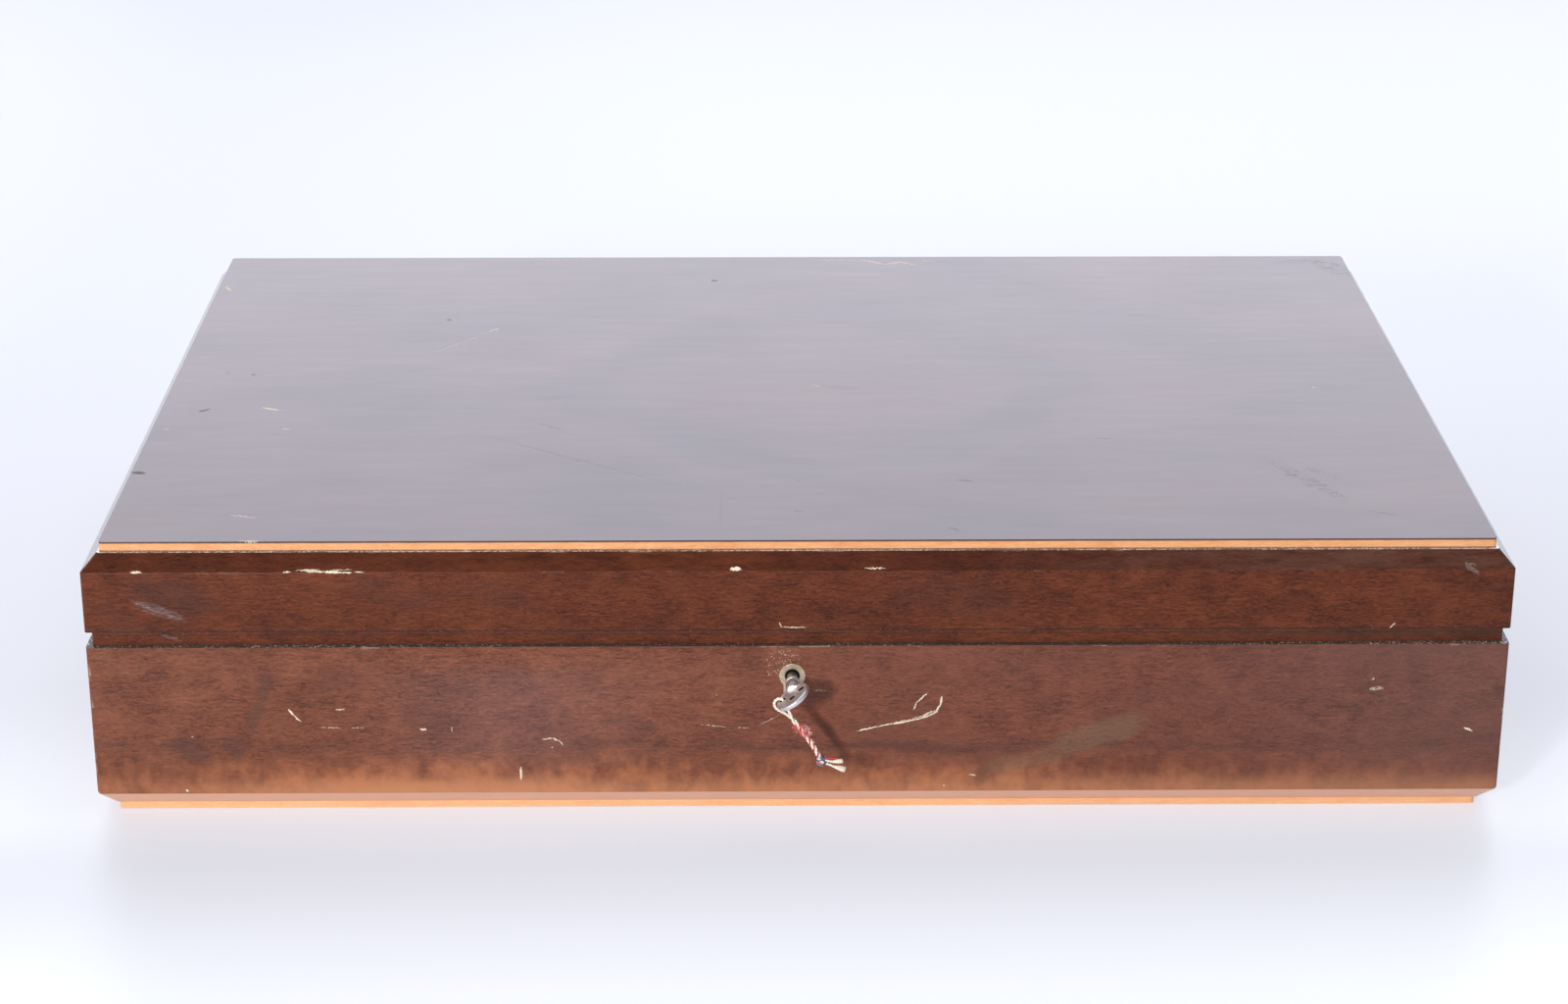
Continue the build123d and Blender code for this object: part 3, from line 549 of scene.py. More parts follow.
def new_group(name, inputs, outputs):
    """Starts a node group and returns its tree, its inputs and its outputs."""
    tree = bpy.data.node_groups.new(name, "ShaderNodeTree")
    for label, kind, value in inputs:
        socket = tree.interface.new_socket(label, in_out="INPUT", socket_type=SOCKET_KINDS[kind])
        socket.default_value = (*value, 1.0) if kind == "colour" else value
    for label, kind in outputs:
        tree.interface.new_socket(label, in_out="OUTPUT", socket_type=SOCKET_KINDS[kind])
    return tree, results(tree.nodes.new("NodeGroupInput")), tree.nodes.new("NodeGroupOutput").inputs


def use(group, **inputs):
    """Places a node group in the tree of its inputs and returns its results."""
    node = tree_of(*inputs.values()).nodes.new("ShaderNodeGroup")
    node.node_tree = group
    for label, value in inputs.items():
        put(node.inputs[label.replace("_", " ")], value)
    return results(node)


def new_material(name, **constants):
    """Starts a material: returns it with its tree, shader and place in millimetres."""
    material = bpy.data.materials.new(name)
    material.use_nodes = True
    tree = material.node_tree
    shader = tree.nodes["Principled BSDF"]
    for label, value in constants.items():
        put(shader.inputs[label.replace("_", " ")], value)
    place_mm = vector_calc("MULTIPLY", add(tree, "TexCoord")["Object"], (1 / MM, 1 / MM, 1 / MM))
    return material, tree, shader, place_mm


def dress(shader, colour, height, strength, distance, roughness=None):
    """Gives a shader its colour, a bump from a height and, where one is given, a roughness."""
    bump = {"Strength": strength, "Distance": distance, "Height": height}
    put(shader.inputs["Base Color"], colour)
    put(shader.inputs["Normal"], add(shader.id_data, "Bump", bump)["Normal"])
    if roughness is not None:
        put(shader.inputs["Roughness"], roughness)


print("node helpers ready")

# %% [markdown]
# ## Wood grain as a node group
# The case is veneered in a reddish brown wood with fine short grain that runs along each face,
# a mottled figure and a few dark streaks. Wave textures look too regular for it, so the group
# stretches cloudy noise: long and thin for fibres, shorter for pores, rounder for the mottle.

# %% Make the grain group
grain_group, given, made = new_group(
    "wood_grain",
    [
        ("Place", "vector", (0, 0, 0)),
        ("Dark", "colour", (0.1, 0.03, 0.02)),
        ("Pale", "colour", (0.3, 0.1, 0.05)),
        ("Fibre", "value", 1.9),
        ("Mottle", "value", 0.75),
        ("Curl", "value", 1.0),
        ("Seed", "value", 0.0),
    ],
    [("Colour", "colour"), ("Height", "value"), ("Patches", "value")],
)
tree = grain_group
seed = given["Seed"]
seeded = vector_calc("ADD", given["Place"], joined(X=seed * 37.0, Y=seed * 91.0, Z=seed * 53.0))
wave = noise(seeded, (0.16, 0.16, 0.10), 2.0, 0.6)
lift = (wave - 0.5) * given["Curl"] * 4.0
curled = vector_calc("ADD", seeded, joined(Y=lift, Z=lift))
dashes = noise(curled, (0.42, 1.7, 2.4), 3.0, 0.75)
fibres = noise(curled, (0.13, 0.9, 1.3), 3.0, 0.6)
mottle = noise(seeded, (0.07, 0.08, 0.09), 1.0, 0.5, 0.6)
patches = noise(seeded, (0.016, 0.016, 0.030), 2.0, 0.5, 0.5)
fibre_tone = (dashes + fibres * 0.7 - 0.85) * given["Fibre"]
mottle_tone = (mottle + patches * 0.8 - 0.9) * given["Mottle"]
tone = calc("ADD", fibre_tone + mottle_tone, 0.5, clamp=True)
put(made["Colour"], mixed(tone, given["Dark"], given["Pale"]))
put(made["Height"], dashes + fibres * 0.5)
put(made["Patches"], patches)
print(grain_group.name, len(tree.nodes), "nodes")

# %% [markdown]
# ## Edge wear as a node group
# Handling rubs the polish off the arrises, and knocks chip them. Painting each edge by hand
# would tie the wear to one mesh. The Bevel node finds edges by itself: near one, its softened
# normal leans away from the face's own, and noise breaks that line into patches.

# %% Make the edge wear group
wear_group, given, made = new_group(
    "edge_wear",
    [
        ("Place", "vector", (0, 0, 0)),
        ("Radius", "value", 0.001),
        ("Amount", "value", 0.5),
        ("Patch Size", "value", 10.0),
    ],
    [("Rubbed", "value"), ("Chipped", "value")],
)
tree = wear_group
soft_normal = add(tree, "Bevel", {"Radius": given["Radius"]}, samples=4)["Normal"]
true_normal = add(tree, "NewGeometry")["Normal"]
agree = vector_calc("DOT_PRODUCT", soft_normal, true_normal, result="Value")
near_edge = ramp_up(1.0 - agree, 0.004, 0.10)
patchy_scale = 1.0 / given["Patch Size"]
patchy = noise(given["Place"], patchy_scale, 4.0, 0.65)
ragged = noise(given["Place"], patchy_scale * 9.0, 3.0, 0.6)
put(made["Rubbed"], near_edge * given["Amount"])
limit = 0.78 - given["Amount"] * 0.36
chips = ramp_up(patchy + ragged * 0.12, limit, limit + 0.04)
put(made["Chipped"], chips * ramp_up(near_edge, 0.3, 0.6))
print(wear_group.name, len(tree.nodes), "nodes")

# %% [markdown]
# ## Single scratches as a node group
# Beside its even wear the chest has scratches, nicks and smears of its own, which give it away
# as this chest. Each is one stroke: a long thin ellipse laid between two places, because a real
# scratch starts and ends thin. Strokes are chained, and each keeps the stronger mask.

# %% Make the stroke group
stroke_group, given, made = new_group(
    "stroke",
    [
        ("Place", "vector", (0, 0, 0)),
        ("Middle", "vector", (0, 0, 0)),
        ("Turn", "vector", (0, 0, 0)),
        ("Half Size", "vector", (1, 1, 1)),
        ("Strength", "value", 1.0),
        ("So Far", "value", 0.0),
    ],
    [("Mask", "value")],
)
tree = stroke_group
ellipse = {
    "Vector": given["Place"],
    "Location": given["Middle"],
    "Rotation": given["Turn"],
    "Scale": given["Half Size"],
}
centred = add(tree, "Mapping", ellipse, vector_type="TEXTURE")["Vector"]
out_from_middle = vector_calc("LENGTH", centred, result="Value")
stroke = ramp_up(out_from_middle, 0.45, 1.1, given["Strength"], 0.0)
put(made["Mask"], calc("MAXIMUM", stroke, given["So Far"]))
print(stroke_group.name, len(tree.nodes), "nodes")


def strokes(flat_place, marks):
    """Chains strokes; each mark is half width, strength and the points that it joins."""
    mask = 0.0
    for half_width, strength, *points in marks:
        for start, end in zip(points, points[1:]):
            run = Vector(end) - Vector(start)
            middle = (Vector(start) + Vector(end)) / 2
            half_length = run.length / 2 + half_width
            mask = use(
                stroke_group,
                Place=flat_place,
                Middle=(middle.x, middle.y, 0.0),
                Turn=(0.0, 0.0, math.atan2(run.y, run.x)),
                Half_Size=(half_length * 1.25, half_width * 1.1, 1.0),
                Strength=strength,
                So_Far=mask,
            )["Mask"]
    return mask


def frayed(flat_place, amount, size):
    """The place, jittered by a noise, so that strokes get ragged edges."""
    jitter = noise(flat_place, 1.0 / size, 3.0, 0.65, result="Color")
    jitter = vector_calc("SUBTRACT", jitter, (0.5, 0.5, 0.5))
    return vector_calc("ADD", flat_place, vector_calc("MULTIPLY", jitter, (amount, amount, 0.0)))


# %% [markdown]
# ## Dust specks as a node group
# Pale specks of dust and grit lie in the groove, on the ledges and round the keyhole. They are
# the peaks of a fine noise, so a higher share turns single grains into a crust.

# %% Make the speck group
speck_group, given, made = new_group(
    "specks",
    [("Place", "vector", (0, 0, 0)), ("Size", "value", 0.5), ("Share", "value", 0.3)],
    [("Mask", "value")],
)
tree = speck_group
grains = noise(given["Place"], 1.0 / given["Size"], 2.0, 0.7)
level = 0.72 - given["Share"] * 0.3
put(made["Mask"], ramp_up(grains, level, level + 0.07))
print(speck_group.name, len(tree.nodes), "nodes")

# %% [markdown]
# ## The marks on the front
# Every mark on the two front walls is written down here: how wide it is to each side, how
# strongly it shows, and the points it runs through, in millimetres across from the middle and
# up from the table. A picture of the scratches would be easier, but strokes stay sharp at any
# size and can be moved one by one.

# %% Marks on the front
body_chips = [
    # left of the key
    (0.40, 1.0, (-173, 40), (-171.5, 38)),
    (0.22, 1.0, (-171.5, 38), (-169, 35.5)),
    (0.25, 0.8, (-157, 40), (-154, 40)),
    (0.45, 0.9, (-128.5, 32.5), (-127, 32.5)),
    (0.25, 0.6, (-118, 33.5), (-118, 31.5)),
    (0.22, 0.9, (-87.5, 28.5), (-84, 29), (-81.5, 28), (-80.5, 26.5)),
    (0.22, 0.6, (-84.5, 25.5), (-84, 25.5)),
    (0.45, 0.9, (-95, 18), (-95, 13.5)),
    (0.25, 0.7, (-206.5, 30), (-206, 30)),
    (0.35, 0.9, (-209.5, 10), (-209, 9.5)),
    # the long scratch right of the key, and the thin one above it
    (0.28, 1.0, (20, 31.3), (27, 33), (33, 34.3)),
    (0.60, 1.0, (32, 34), (38, 35.3), (43, 36.7)),
    (0.85, 1.0, (42, 36.4), (46.5, 38.5)),
    (0.40, 1.0, (46.5, 38.5), (48, 41), (48.5, 44)),
    (0.26, 0.95, (39, 39.5), (40, 42), (43.5, 45.5)),
    # further right
    (0.30, 0.7, (58.5, 14.5), (60.5, 14.5)),
    (0.32, 0.8, (49.7, 10.5), (50, 10.5)),
    (0.32, 0.65, (194.2, 50), (194.9, 50.2)),
    (1.0, 0.50, (194.2, 46.4), (198, 46.8)),
    (0.35, 0.5, (193.8, 46.2), (195.6, 46.8)),
    (0.24, 0.4, (200.4, 44.2), (200.5, 43.8)),
    (0.45, 0.9, (227, 31.7), (229.5, 30.6)),
    # the worn left end
    (0.30, 0.5, (-239.3, 57), (-239.2, 52)),
    (0.25, 0.5, (-239.2, 44), (-239.1, 40.5)),
    # nicks by the keyhole
    (0.26, 0.5, (-7, 61.5), (-6, 60)),
    (0.20, 0.45, (2.2, 58.8), (2.4, 57)),
    (0.22, 0.5, (-10.8, 54), (-10, 52)),
    (0.20, 0.5, (-28, 45.5), (-27.8, 44.8)),
]
body_cracks = [
    (0.16, 0.8, (-162, 33.3), (-155, 33)),
    (0.12, 0.6, (-155, 33), (-147, 33.2)),
    (0.16, 0.8, (-33, 33.8), (-25, 33)),
    (0.13, 0.6, (-22, 32.6), (-17, 32.6)),
    (0.13, 0.6, (-13, 34), (-7, 37)),
    (0.40, 0.25, (5.5, 46.6), (9, 46.4)),
]
scratch_cores = [
    (0.20, 0.7, (31.5, 34.3), (38, 35.4)),
    (0.28, 0.8, (38, 35.4), (43, 36.8)),
    (0.40, 0.8, (43, 36.9), (46.2, 38.5)),
]
lid_chips = [
    # the long bruise along the bevel's edge, and its neighbours
    (0.34, 0.8, (-165, 90.7), (-158, 90.5)),
    (0.50, 0.95, (-158.5, 90.5), (-153, 90.4)),
    (0.18, 0.8, (-168, 90.9), (-160, 91.1)),
    (0.26, 0.9, (-153, 90.3), (-149.5, 90.3)),
    (0.22, 0.8, (-148.5, 90.5), (-145.5, 90.4)),
    (0.14, 0.7, (-157, 91.1), (-149, 91.0)),
    (0.25, 0.8, (-172, 90.5), (-169.5, 90.5)),
    (0.42, 0.85, (-222.6, 90.5), (-219.4, 90.5)),
    (0.60, 1.0, (-22.8, 91), (-20, 91)),
    (0.25, 0.7, (21.5, 91), (29, 91)),
    (0.20, 0.9, (-6.6, 71.6), (-6, 70), (2.8, 69.8)),
    (0.45, 0.4, (223, 92), (226.5, 91.5)),
    (0.26, 0.8, (199, 69), (200.7, 71)),
]
lid_scuffs = [
    (2.0, 0.40, (-220, 79), (-208, 74)),
    (0.7, 0.9, (-223, 80.5), (-217, 77)),
    (0.5, 0.8, (-219, 78), (-207, 73.5)),
    (0.4, 0.6, (-216, 78.5), (-211, 76.5)),
    (0.35, 0.5, (-222, 77.5), (-212, 74)),
    (0.6, 0.5, (-214, 67), (-209, 65)),
    (0.9, 0.6, (223.5, 91), (227, 89)),
]
body_smears = [
    (4.2, 0.34, (64, 17), (81, 20.5), (95, 26)),
    (5.4, 0.50, (91, 26), (104, 30.5), (112, 33)),
]
body_spots = [
    (0.9, 0.9, (71, 47.3), (71.4, 47.6)),
    (3.0, 0.42, (-180, 52), (-181, 46)),
    (3.4, 0.34, (-183, 41), (-185, 35)),
    (4.6, 0.45, (-209, 27), (-204, 23)),
    (3.4, 0.34, (-194, 28), (-192, 23)),
    (4.5, 0.26, (-132, 39), (-122, 36)),
    (5.0, 0.20, (-160, 50), (-152, 52)),
    (4.0, 0.28, (-62, 36), (-52, 33)),
    (4.0, 0.17, (-90, 22.5), (-62, 22), (-42, 23)),
    (7.0, 0.12, (-34, 31), (-10, 30)),
]
# The dark streak right of the string is part stain and part painted shadow of the string.
body_shadow_and_stain = [
    (2.0, 0.40, (2.5, 41.0), (7.8, 33.9)),
    (2.1, 0.50, (6.5, 35.5), (13.1, 27.6)),
    (1.8, 0.35, (12.5, 28.3), (16.5, 23.5)),
]
lid_clouds = [
    (7.0, 0.36, (-217, 84), (-203, 80)),
    (5.0, 0.20, (-232, 76), (-226, 72)),
    (6.0, 0.22, (-110, 84), (-95, 80)),
    (6.0, 0.22, (-150, 84), (-124, 82)),
    (8.0, 0.20, (40, 82), (66, 78)),
]
print(len(body_chips) + len(lid_chips), "chips and scratches")

# %% [markdown]
# ## The case's wood
# All walls have the same reddish veneer under a satin polish: its grain runs along each wall,
# so the side walls turn their place first. Low on the front the veneer is flamed under a dark
# wavy stripe and painted lighter towards the foot, for light bounced up off the floor. The foot's
# bevel is rubbed almost bare and painted lighter for that bounce light, the lid's bevel is dark,
# and the ledges in the groove hold a crust of dirt.

# %% Heights and places on the case, in millimetres
foot_bevel_height, rebate_height, lid_bevel_height = 5.6, 5.5, 5.3
dirty_width = 2.5


def box_mm(name):
    """A solid piece's low and high corner, in millimetres."""
    return [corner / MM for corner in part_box(name)]


body_low, _ = box_mm("body_front_wall")
_, body_high = box_mm("body_right_wall")
lid_low, lid_high = box_mm("lid_front_wall")
_, lid_board_high = box_mm("lid_board")
side_x, side_y = body_high.x, -body_low.y
foot_bevel_top = body_low.z + foot_bevel_height
lid_face_bottom = lid_low.z + rebate_height
lid_face_top = lid_high.z - lid_bevel_height
lid_wall_top, lid_board_top = lid_high.z, lid_board_high.z
key_place = next(joint["pos_m"] for joint in frame["joints"] if joint["name"] == "key_turn")
keyhole_x, _, keyhole_z = (length / MM for length in key_place)
print("lid's front face from", round(lid_face_bottom, 2), "to", round(lid_face_top, 2), "mm")

# %% Helpers for the case's wood
nearly_black = (0.02, 0.006, 0.004)
bare_veneer = (0.62, 0.50, 0.38)


def facing(tree, low, high, down=False):
    """How far a face looks up, or down, with the lid shut, as a mask."""
    upward = split_up(add(tree, "TexCoord")["Normal"])["Z"]
    return ramp_up(upward * -1.0 if down else upward, low, high)


def grained(place, along_y, dark, pale, seed):
    """The veneer's grain, run along the wall."""
    split = split_up(place)
    first, second = ("Y", "X") if along_y else ("X", "Y")
    along = joined(X=split[first], Y=split[second], Z=split["Z"])
    return use(grain_group, Place=along, Dark=dark, Pale=pale, Seed=seed), split


def scratched(flat_place, colour, chips, cracks=()):
    """Bare wood shows in chips; cracks are thin and break off."""
    bare = mixed(noise(flat_place, 1.6, 3.0, 0.7), (0.66, 0.52, 0.36), (1.0, 0.96, 0.84))
    mask = strokes(frayed(flat_place, 1.3, 0.6), chips)
    crumbled = (noise(flat_place, 1.1, 3.0, 0.7) - 0.5) * 1.6
    mask = mask * ramp_up(mask + crumbled, 0.30, 0.62)
    if cracks:
        broken = ramp_up(noise(flat_place, 0.9, 2.0), 0.40, 0.55)
        thin = strokes(frayed(flat_place, 0.9, 1.5), cracks)
        mask = calc("MAXIMUM", mask, thin * broken)
    return mixed(mask, colour, bare), mask


def satin_polish(shader, place, colour, grain, dull):
    """Dresses a wall under a slightly uneven satin polish, dull where it is scratched."""
    rough = noise(place, 0.03, 3.0) * 0.16 + 0.30 + dull * 0.4
    dress(shader, colour, grain["Height"], strength=0.10, distance=0.0002, roughness=rough)


def dirty_ledges(tree, place, split, colour, dirt_colour, share):
    """The flat ledges' outer edge is dull with dirt and carries pale specks."""
    inner_x, inner_y = side_x - dirty_width, side_y - dirty_width
    outer_x = ramp_up(calc("ABSOLUTE", split["X"]), inner_x, inner_x + 0.4)
    outer_y = ramp_up(calc("ABSOLUTE", split["Y"]), inner_y, inner_y + 0.4)
    high_up = ramp_up(split["Z"], lid_wall_top - 1.6, lid_wall_top - 0.6)
    outer = calc("MAXIMUM", calc("MAXIMUM", outer_x, outer_y), high_up)
    ledge = facing(tree, 0.90, 0.98) * outer
    uneven = noise(place, 0.02, 2.0) * (share * 2) + ramp_up(split["X"], 110.0, 235.0) * 0.22
    specks = use(speck_group, Place=place, Size=0.8, Share=uneven)["Mask"]
    return mixed(ledge, colour, mixed(specks * 0.9, dirt_colour, (0.92, 0.86, 0.78)))


def wear(place, radius, amount, patch_size):
    """The edge wear group's two masks."""
    return use(wear_group, Place=place, Radius=radius, Amount=amount, Patch_Size=patch_size)


print("wood helpers ready")

# %% Figure and foot of the body's veneer
flame_dark, flame_pale = (0.15, 0.045, 0.023), (0.48, 0.175, 0.078)
# the foot bevel's colour is rubbed wood, painted lighter for light bounced up off the floor
bare_and_lit_foot = (0.74, 0.385, 0.245)


def tone_and_painted_light(split, cloudy, colour):
    """The veneer is duskier to the right, with painted shade at both ends and a painted sheen of
    reflection left of the key and at the right end.
    """
    dusky = ramp_up(split["X"], -150.0, 160.0) * cloudy * 0.9
    colour = mixed(dusky, colour, (0.092, 0.034, 0.029))
    # painted shade darkens both ends of the front
    painted_end_shade = ramp_up(split["X"], -50.0, -190.0) * 0.17 + ramp_up(split["X"], 110.0, 235.0) * 0.05
    colour = mixed(painted_end_shade, colour, nearly_black)
    # painted sheen of reflection: a greyish haze left of the key and at the right end
    painted_sheen = between(split["X"], -130.0, -62.0, 38.0) * ramp_up(split["Z"], 62.0, 48.0) * 0.11
    painted_sheen = painted_sheen + ramp_up(split["X"], 120.0, 225.0) * 0.07
    return mixed(painted_sheen, colour, (0.20, 0.20, 0.24))


def flamed(place, split, cloudy, colour):
    """Low down the veneer is flamed under a dark wavy stripe, and painted lighter towards the foot for
    light bounced up off the floor.
    """
    height = split["Z"] + (noise(place, (0.03, 0.03, 0.02), 3.0, 0.6) - 0.5) * 14.0
    low = ramp_up(height, 27.0, 14.0)
    flames = noise(place, (0.15, 0.15, 0.12), 3.0, 0.6, 0.3)
    # rising lightens the flames towards the foot, as painted light bounced up off the floor
    rising = 1.0 - ramp_up(split["Z"], 6.0, 22.0)
    left_end = ramp_up(split["X"], -185.0, -228.0)
    lively = between(split["X"], -160.0, -78.0, 26.0) - left_end
    flame_tone = calc("ADD", (flames - 0.40) * 2.8 + lively * 0.25, rising * 0.42, clamp=True)
    flame_colour = mixed(0.35, mixed(flame_tone, flame_dark, flame_pale), colour)
    faded = 1.0 - ramp_up(split["X"], 40.0, 220.0) * 0.6 - left_end * 0.25
    colour = mixed(low * faded, colour, flame_colour)
    # painted bounce light: the veneer is lighter towards the foot
    painted_bounce_light = ramp_up(split["Z"], 17.0, 8.0) * (lively * 0.20 + 0.34)
    colour = mixed(painted_bounce_light, colour, (0.60, 0.285, 0.150))
    stripe = between(height, 24.5, 27.0, 2.0) * ramp_up(flames + cloudy, 0.75, 1.35)
    return mixed(stripe * 0.7, colour, (0.055, 0.025, 0.022))


def marked_body_front(place, flat_place, grain, colour):
    """Spots, a streak right of the string that is part stain and part painted shadow, smears and dust
    round the keyhole, then chips and scratches.
    """
    spots = strokes(frayed(flat_place, 7.0, 8.0), body_spots)
    colour = mixed(spots, colour, (0.062, 0.030, 0.027))
    # the streak right of the string: part stain, part painted shadow of the string
    shadow_and_stain = strokes(frayed(flat_place, 1.5, 4.0), body_shadow_and_stain)
    colour = mixed(shadow_and_stain, colour, (0.075, 0.018, 0.008))
    smears = strokes(frayed(flat_place, 3.5, 5.0), body_smears) * grain["Height"]
    colour = mixed(smears, colour, (0.20, 0.135, 0.085))
    dust_middle = (keyhole_x - 3.2, keyhole_z + 4.5, 0.0)
    near_hole = ramp_up(vector_calc("DISTANCE", flat_place, dust_middle, result="Value"), 8.0, 3.0)
    specks = use(speck_group, Place=place, Size=0.55, Share=0.42)["Mask"]
    colour = mixed(near_hole * specks * 0.75, colour, (0.75, 0.62, 0.5))
    colour, dull = scratched(flat_place, colour, body_chips, body_cracks)
    cores = strokes(frayed(flat_place, 0.8, 0.5), scratch_cores)
    return mixed(cores, colour, (0.17, 0.075, 0.045)), dull


def lit_foot_bevel(tree, place, split):
    """Where the foot's bevel is, and its colour: rubbed wood, painted lighter for light bounced up off the
    floor.
    """
    low_down = ramp_up(split["Z"], foot_bevel_top + 1.5, foot_bevel_top + 0.5)
    foot = facing(tree, 0.3, 0.6, down=True) * low_down
    foot_lines = noise(place, (0.1, 0.1, 1.5), 3.0)
    return foot, mixed(foot_lines, (0.58, 0.29, 0.18), bare_and_lit_foot)


print("body figure ready")

# %% Make the body's wood
body_dark, body_pale = (0.082, 0.022, 0.012), (0.290, 0.098, 0.054)


def body_wood(name, along_y=False, seed=0.0, front=False):
    """The lower box's veneer, with its marks if it is the front."""
    material, tree, shader, place = new_material(name, Specular_IOR_Level=0.25)
    grain, split = grained(place, along_y, body_dark, body_pale, seed)
    colour = tone_and_painted_light(split, grain["Patches"], grain["Colour"])
    colour = flamed(place, split, grain["Patches"], colour)
    dull = 0.0
    if front:
        flat_place = joined(X=split["X"], Y=split["Z"])
        colour, dull = marked_body_front(place, flat_place, grain, colour)
    chipped = wear(place, radius=0.0009, amount=0.3, patch_size=14.0)["Chipped"]
    colour = mixed(chipped * 0.6, colour, bare_veneer)
    foot, foot_colour = lit_foot_bevel(tree, place, split)
    colour = mixed(foot, colour, foot_colour)
    colour = dirty_ledges(tree, place, split, colour, (0.095, 0.076, 0.064), 0.40)
    put(shader.inputs["Coat Weight"], foot)
    put(shader.inputs["Coat Roughness"], 0.30)
    satin_polish(shader, place, colour, grain, dull)
    return material


body_front_veneer = body_wood("body_front_veneer", front=True)
body_side_veneer = body_wood("body_side_veneer", along_y=True, seed=1.3)
body_back_veneer = body_wood("body_back_veneer", seed=3.4)
print("body wood", len(body_front_veneer.node_tree.nodes), "nodes on the front")

# %% Edges and marks of the lid's veneer


def bevel_tone_and_sheen(place, split, bevel, colour):
    """The lid's bevel is nearly black, with a painted sheen of reflection to the right, and warmer left of
    the middle.
    """
    colour = mixed(bevel * 0.45, colour, (0.022, 0.004, 0.002))
    hazy = noise(place, (0.05, 0.05, 0.4), 4.0, 0.65)
    # painted sheen of reflection: a greyish haze on the bevel, growing to the right
    painted_bevel_sheen = bevel * ramp_up(split["X"], 20.0, 200.0) * ramp_up(hazy, 0.2, 0.9)
    colour = mixed(painted_bevel_sheen * 0.34, colour, (0.24, 0.155, 0.130))
    warm = bevel * between(split["X"], -140.0, 20.0, 60.0) * ramp_up(hazy, 0.3, 0.7)
    return mixed(warm * 0.20, colour, (0.26, 0.070, 0.024))


def groove_shade_and_dust(place, split, colour):
    """The lid face's lower edge has a painted line of shade and pale dust specks, and its rebate is darker
    to the right.
    """
    # painted shade: a dark line along the lid face's lower edge
    painted_seam_shade = between(split["Z"], lid_face_bottom - 0.5, lid_face_bottom + 0.5, 0.15)
    colour = mixed(painted_seam_shade * 0.85, colour, (0.018, 0.008, 0.006))
    rebate = between(split["Z"], lid_face_bottom - 4.1, lid_face_bottom - 0.4, 0.3)
    darker_rebate_strip = rebate * ramp_up(split["X"], 90.0, 200.0)
    colour = mixed(darker_rebate_strip * 0.40, colour, (0.050, 0.028, 0.018))
    grit = use(speck_group, Place=place, Size=0.5, Share=0.35)["Mask"]
    dusty = grit * between(split["Z"], lid_face_bottom - 0.2, lid_face_bottom + 0.6, 0.2)
    colour = mixed(dusty * 0.35, colour, (0.60, 0.55, 0.50))
    rebate_line = between(split["Z"], lid_face_bottom - 2.1, lid_face_bottom - 1.8, 0.12)
    return mixed(rebate_line * 0.4, colour, (0.02, 0.010, 0.008))


def marked_lid_front(place, flat_place, colour):
    """Clouds and scuffs, then chips."""
    clouds = strokes(frayed(flat_place, 12.0, 14.0), lid_clouds)
    colour = mixed(clouds, colour, (0.040, 0.022, 0.022))
    streaky = noise(place, (0.5, 0.5, 1.6), 4.0, 0.7)
    scuffs = strokes(frayed(flat_place, 2.4, 2.2), lid_scuffs) * ramp_up(streaky, 0.3, 0.7)
    colour = mixed(scuffs * 0.6, colour, (0.40, 0.34, 0.36))
    return scratched(flat_place, colour, lid_chips)


print("lid edges ready")

# %% Make the lid's wood
lid_dark, lid_pale = (0.043, 0.0095, 0.0045), (0.172, 0.045, 0.019)


def lid_wood(name, along_y=False, seed=0.0, front=False):
    """The lid walls' darker veneer, with its marks if it is the front."""
    material, tree, shader, place = new_material(name, Specular_IOR_Level=0.16)
    grain, split = grained(place, along_y, lid_dark, lid_pale, seed)
    bevel = facing(tree, 0.4, 0.6) * ramp_up(split["Z"], lid_face_top - 0.4, lid_face_top)
    colour = bevel_tone_and_sheen(place, split, bevel, grain["Colour"])
    colour = groove_shade_and_dust(place, split, colour)
    # painted shade darkens the lid's right end
    shaded_right_end = ramp_up(split["X"], 165.0, 225.0)
    colour = mixed(shaded_right_end * 0.12, colour, nearly_black)
    dull = 0.0
    if along_y:
        put(shader.inputs["Coat Weight"], bevel)
        put(shader.inputs["Coat Roughness"], 0.08)
        put(shader.inputs["Coat IOR"], 1.8)
    if front:
        flat_place = joined(X=split["X"], Y=split["Z"])
        colour, dull = marked_lid_front(place, flat_place, colour)
    worn = wear(place, radius=0.0009, amount=0.35, patch_size=14.0)
    colour = mixed(worn["Rubbed"] * 0.35, colour, (0.24, 0.14, 0.11))
    chipped = worn["Chipped"] * ramp_up(split["Z"], 66.0, 78.0)
    colour = mixed(chipped * 0.5, colour, bare_veneer)
    colour = dirty_ledges(tree, place, split, colour, (0.20, 0.145, 0.125), 0.8)
    satin_polish(shader, place, colour, grain, dull)
    return material


lid_front_veneer = lid_wood("lid_front_veneer", seed=0.6, front=True)
lid_side_veneer = lid_wood("lid_side_veneer", along_y=True, seed=2.1)
lid_back_veneer = lid_wood("lid_back_veneer", seed=4.2)
print("lid wood", len(lid_front_veneer.node_tree.nodes), "nodes on the front")

# %% Veneer the walls


def finish_nodes(material, slot, *names):
    """Gives CAD pieces a finish; the slot is not used."""
    for name in names:
        piece = nodes[name]
        piece.data.materials.clear()
        piece.data.materials.append(material)


finish_nodes(body_front_veneer, "case_wood", "body_front_wall")
finish_nodes(body_side_veneer, "case_wood", "body_left_wall", "body_right_wall")
finish_nodes(body_back_veneer, "case_wood", "body_back_wall")
finish_nodes(lid_front_veneer, "case_wood", "lid_front_wall")
finish_nodes(lid_side_veneer, "case_wood", "lid_left_wall", "lid_right_wall")
finish_nodes(lid_back_veneer, "case_wood", "lid_back_wall")
print("eight walls veneered")

# %% [markdown]
# ## The polished top
# The top is one sheet of very dark veneer with a faint figure like a wide eye: a darker band
# that runs to a point at the left, right and front. Seen this low, the polish mostly mirrors
# the pale studio, so the figure only tints that sheen.

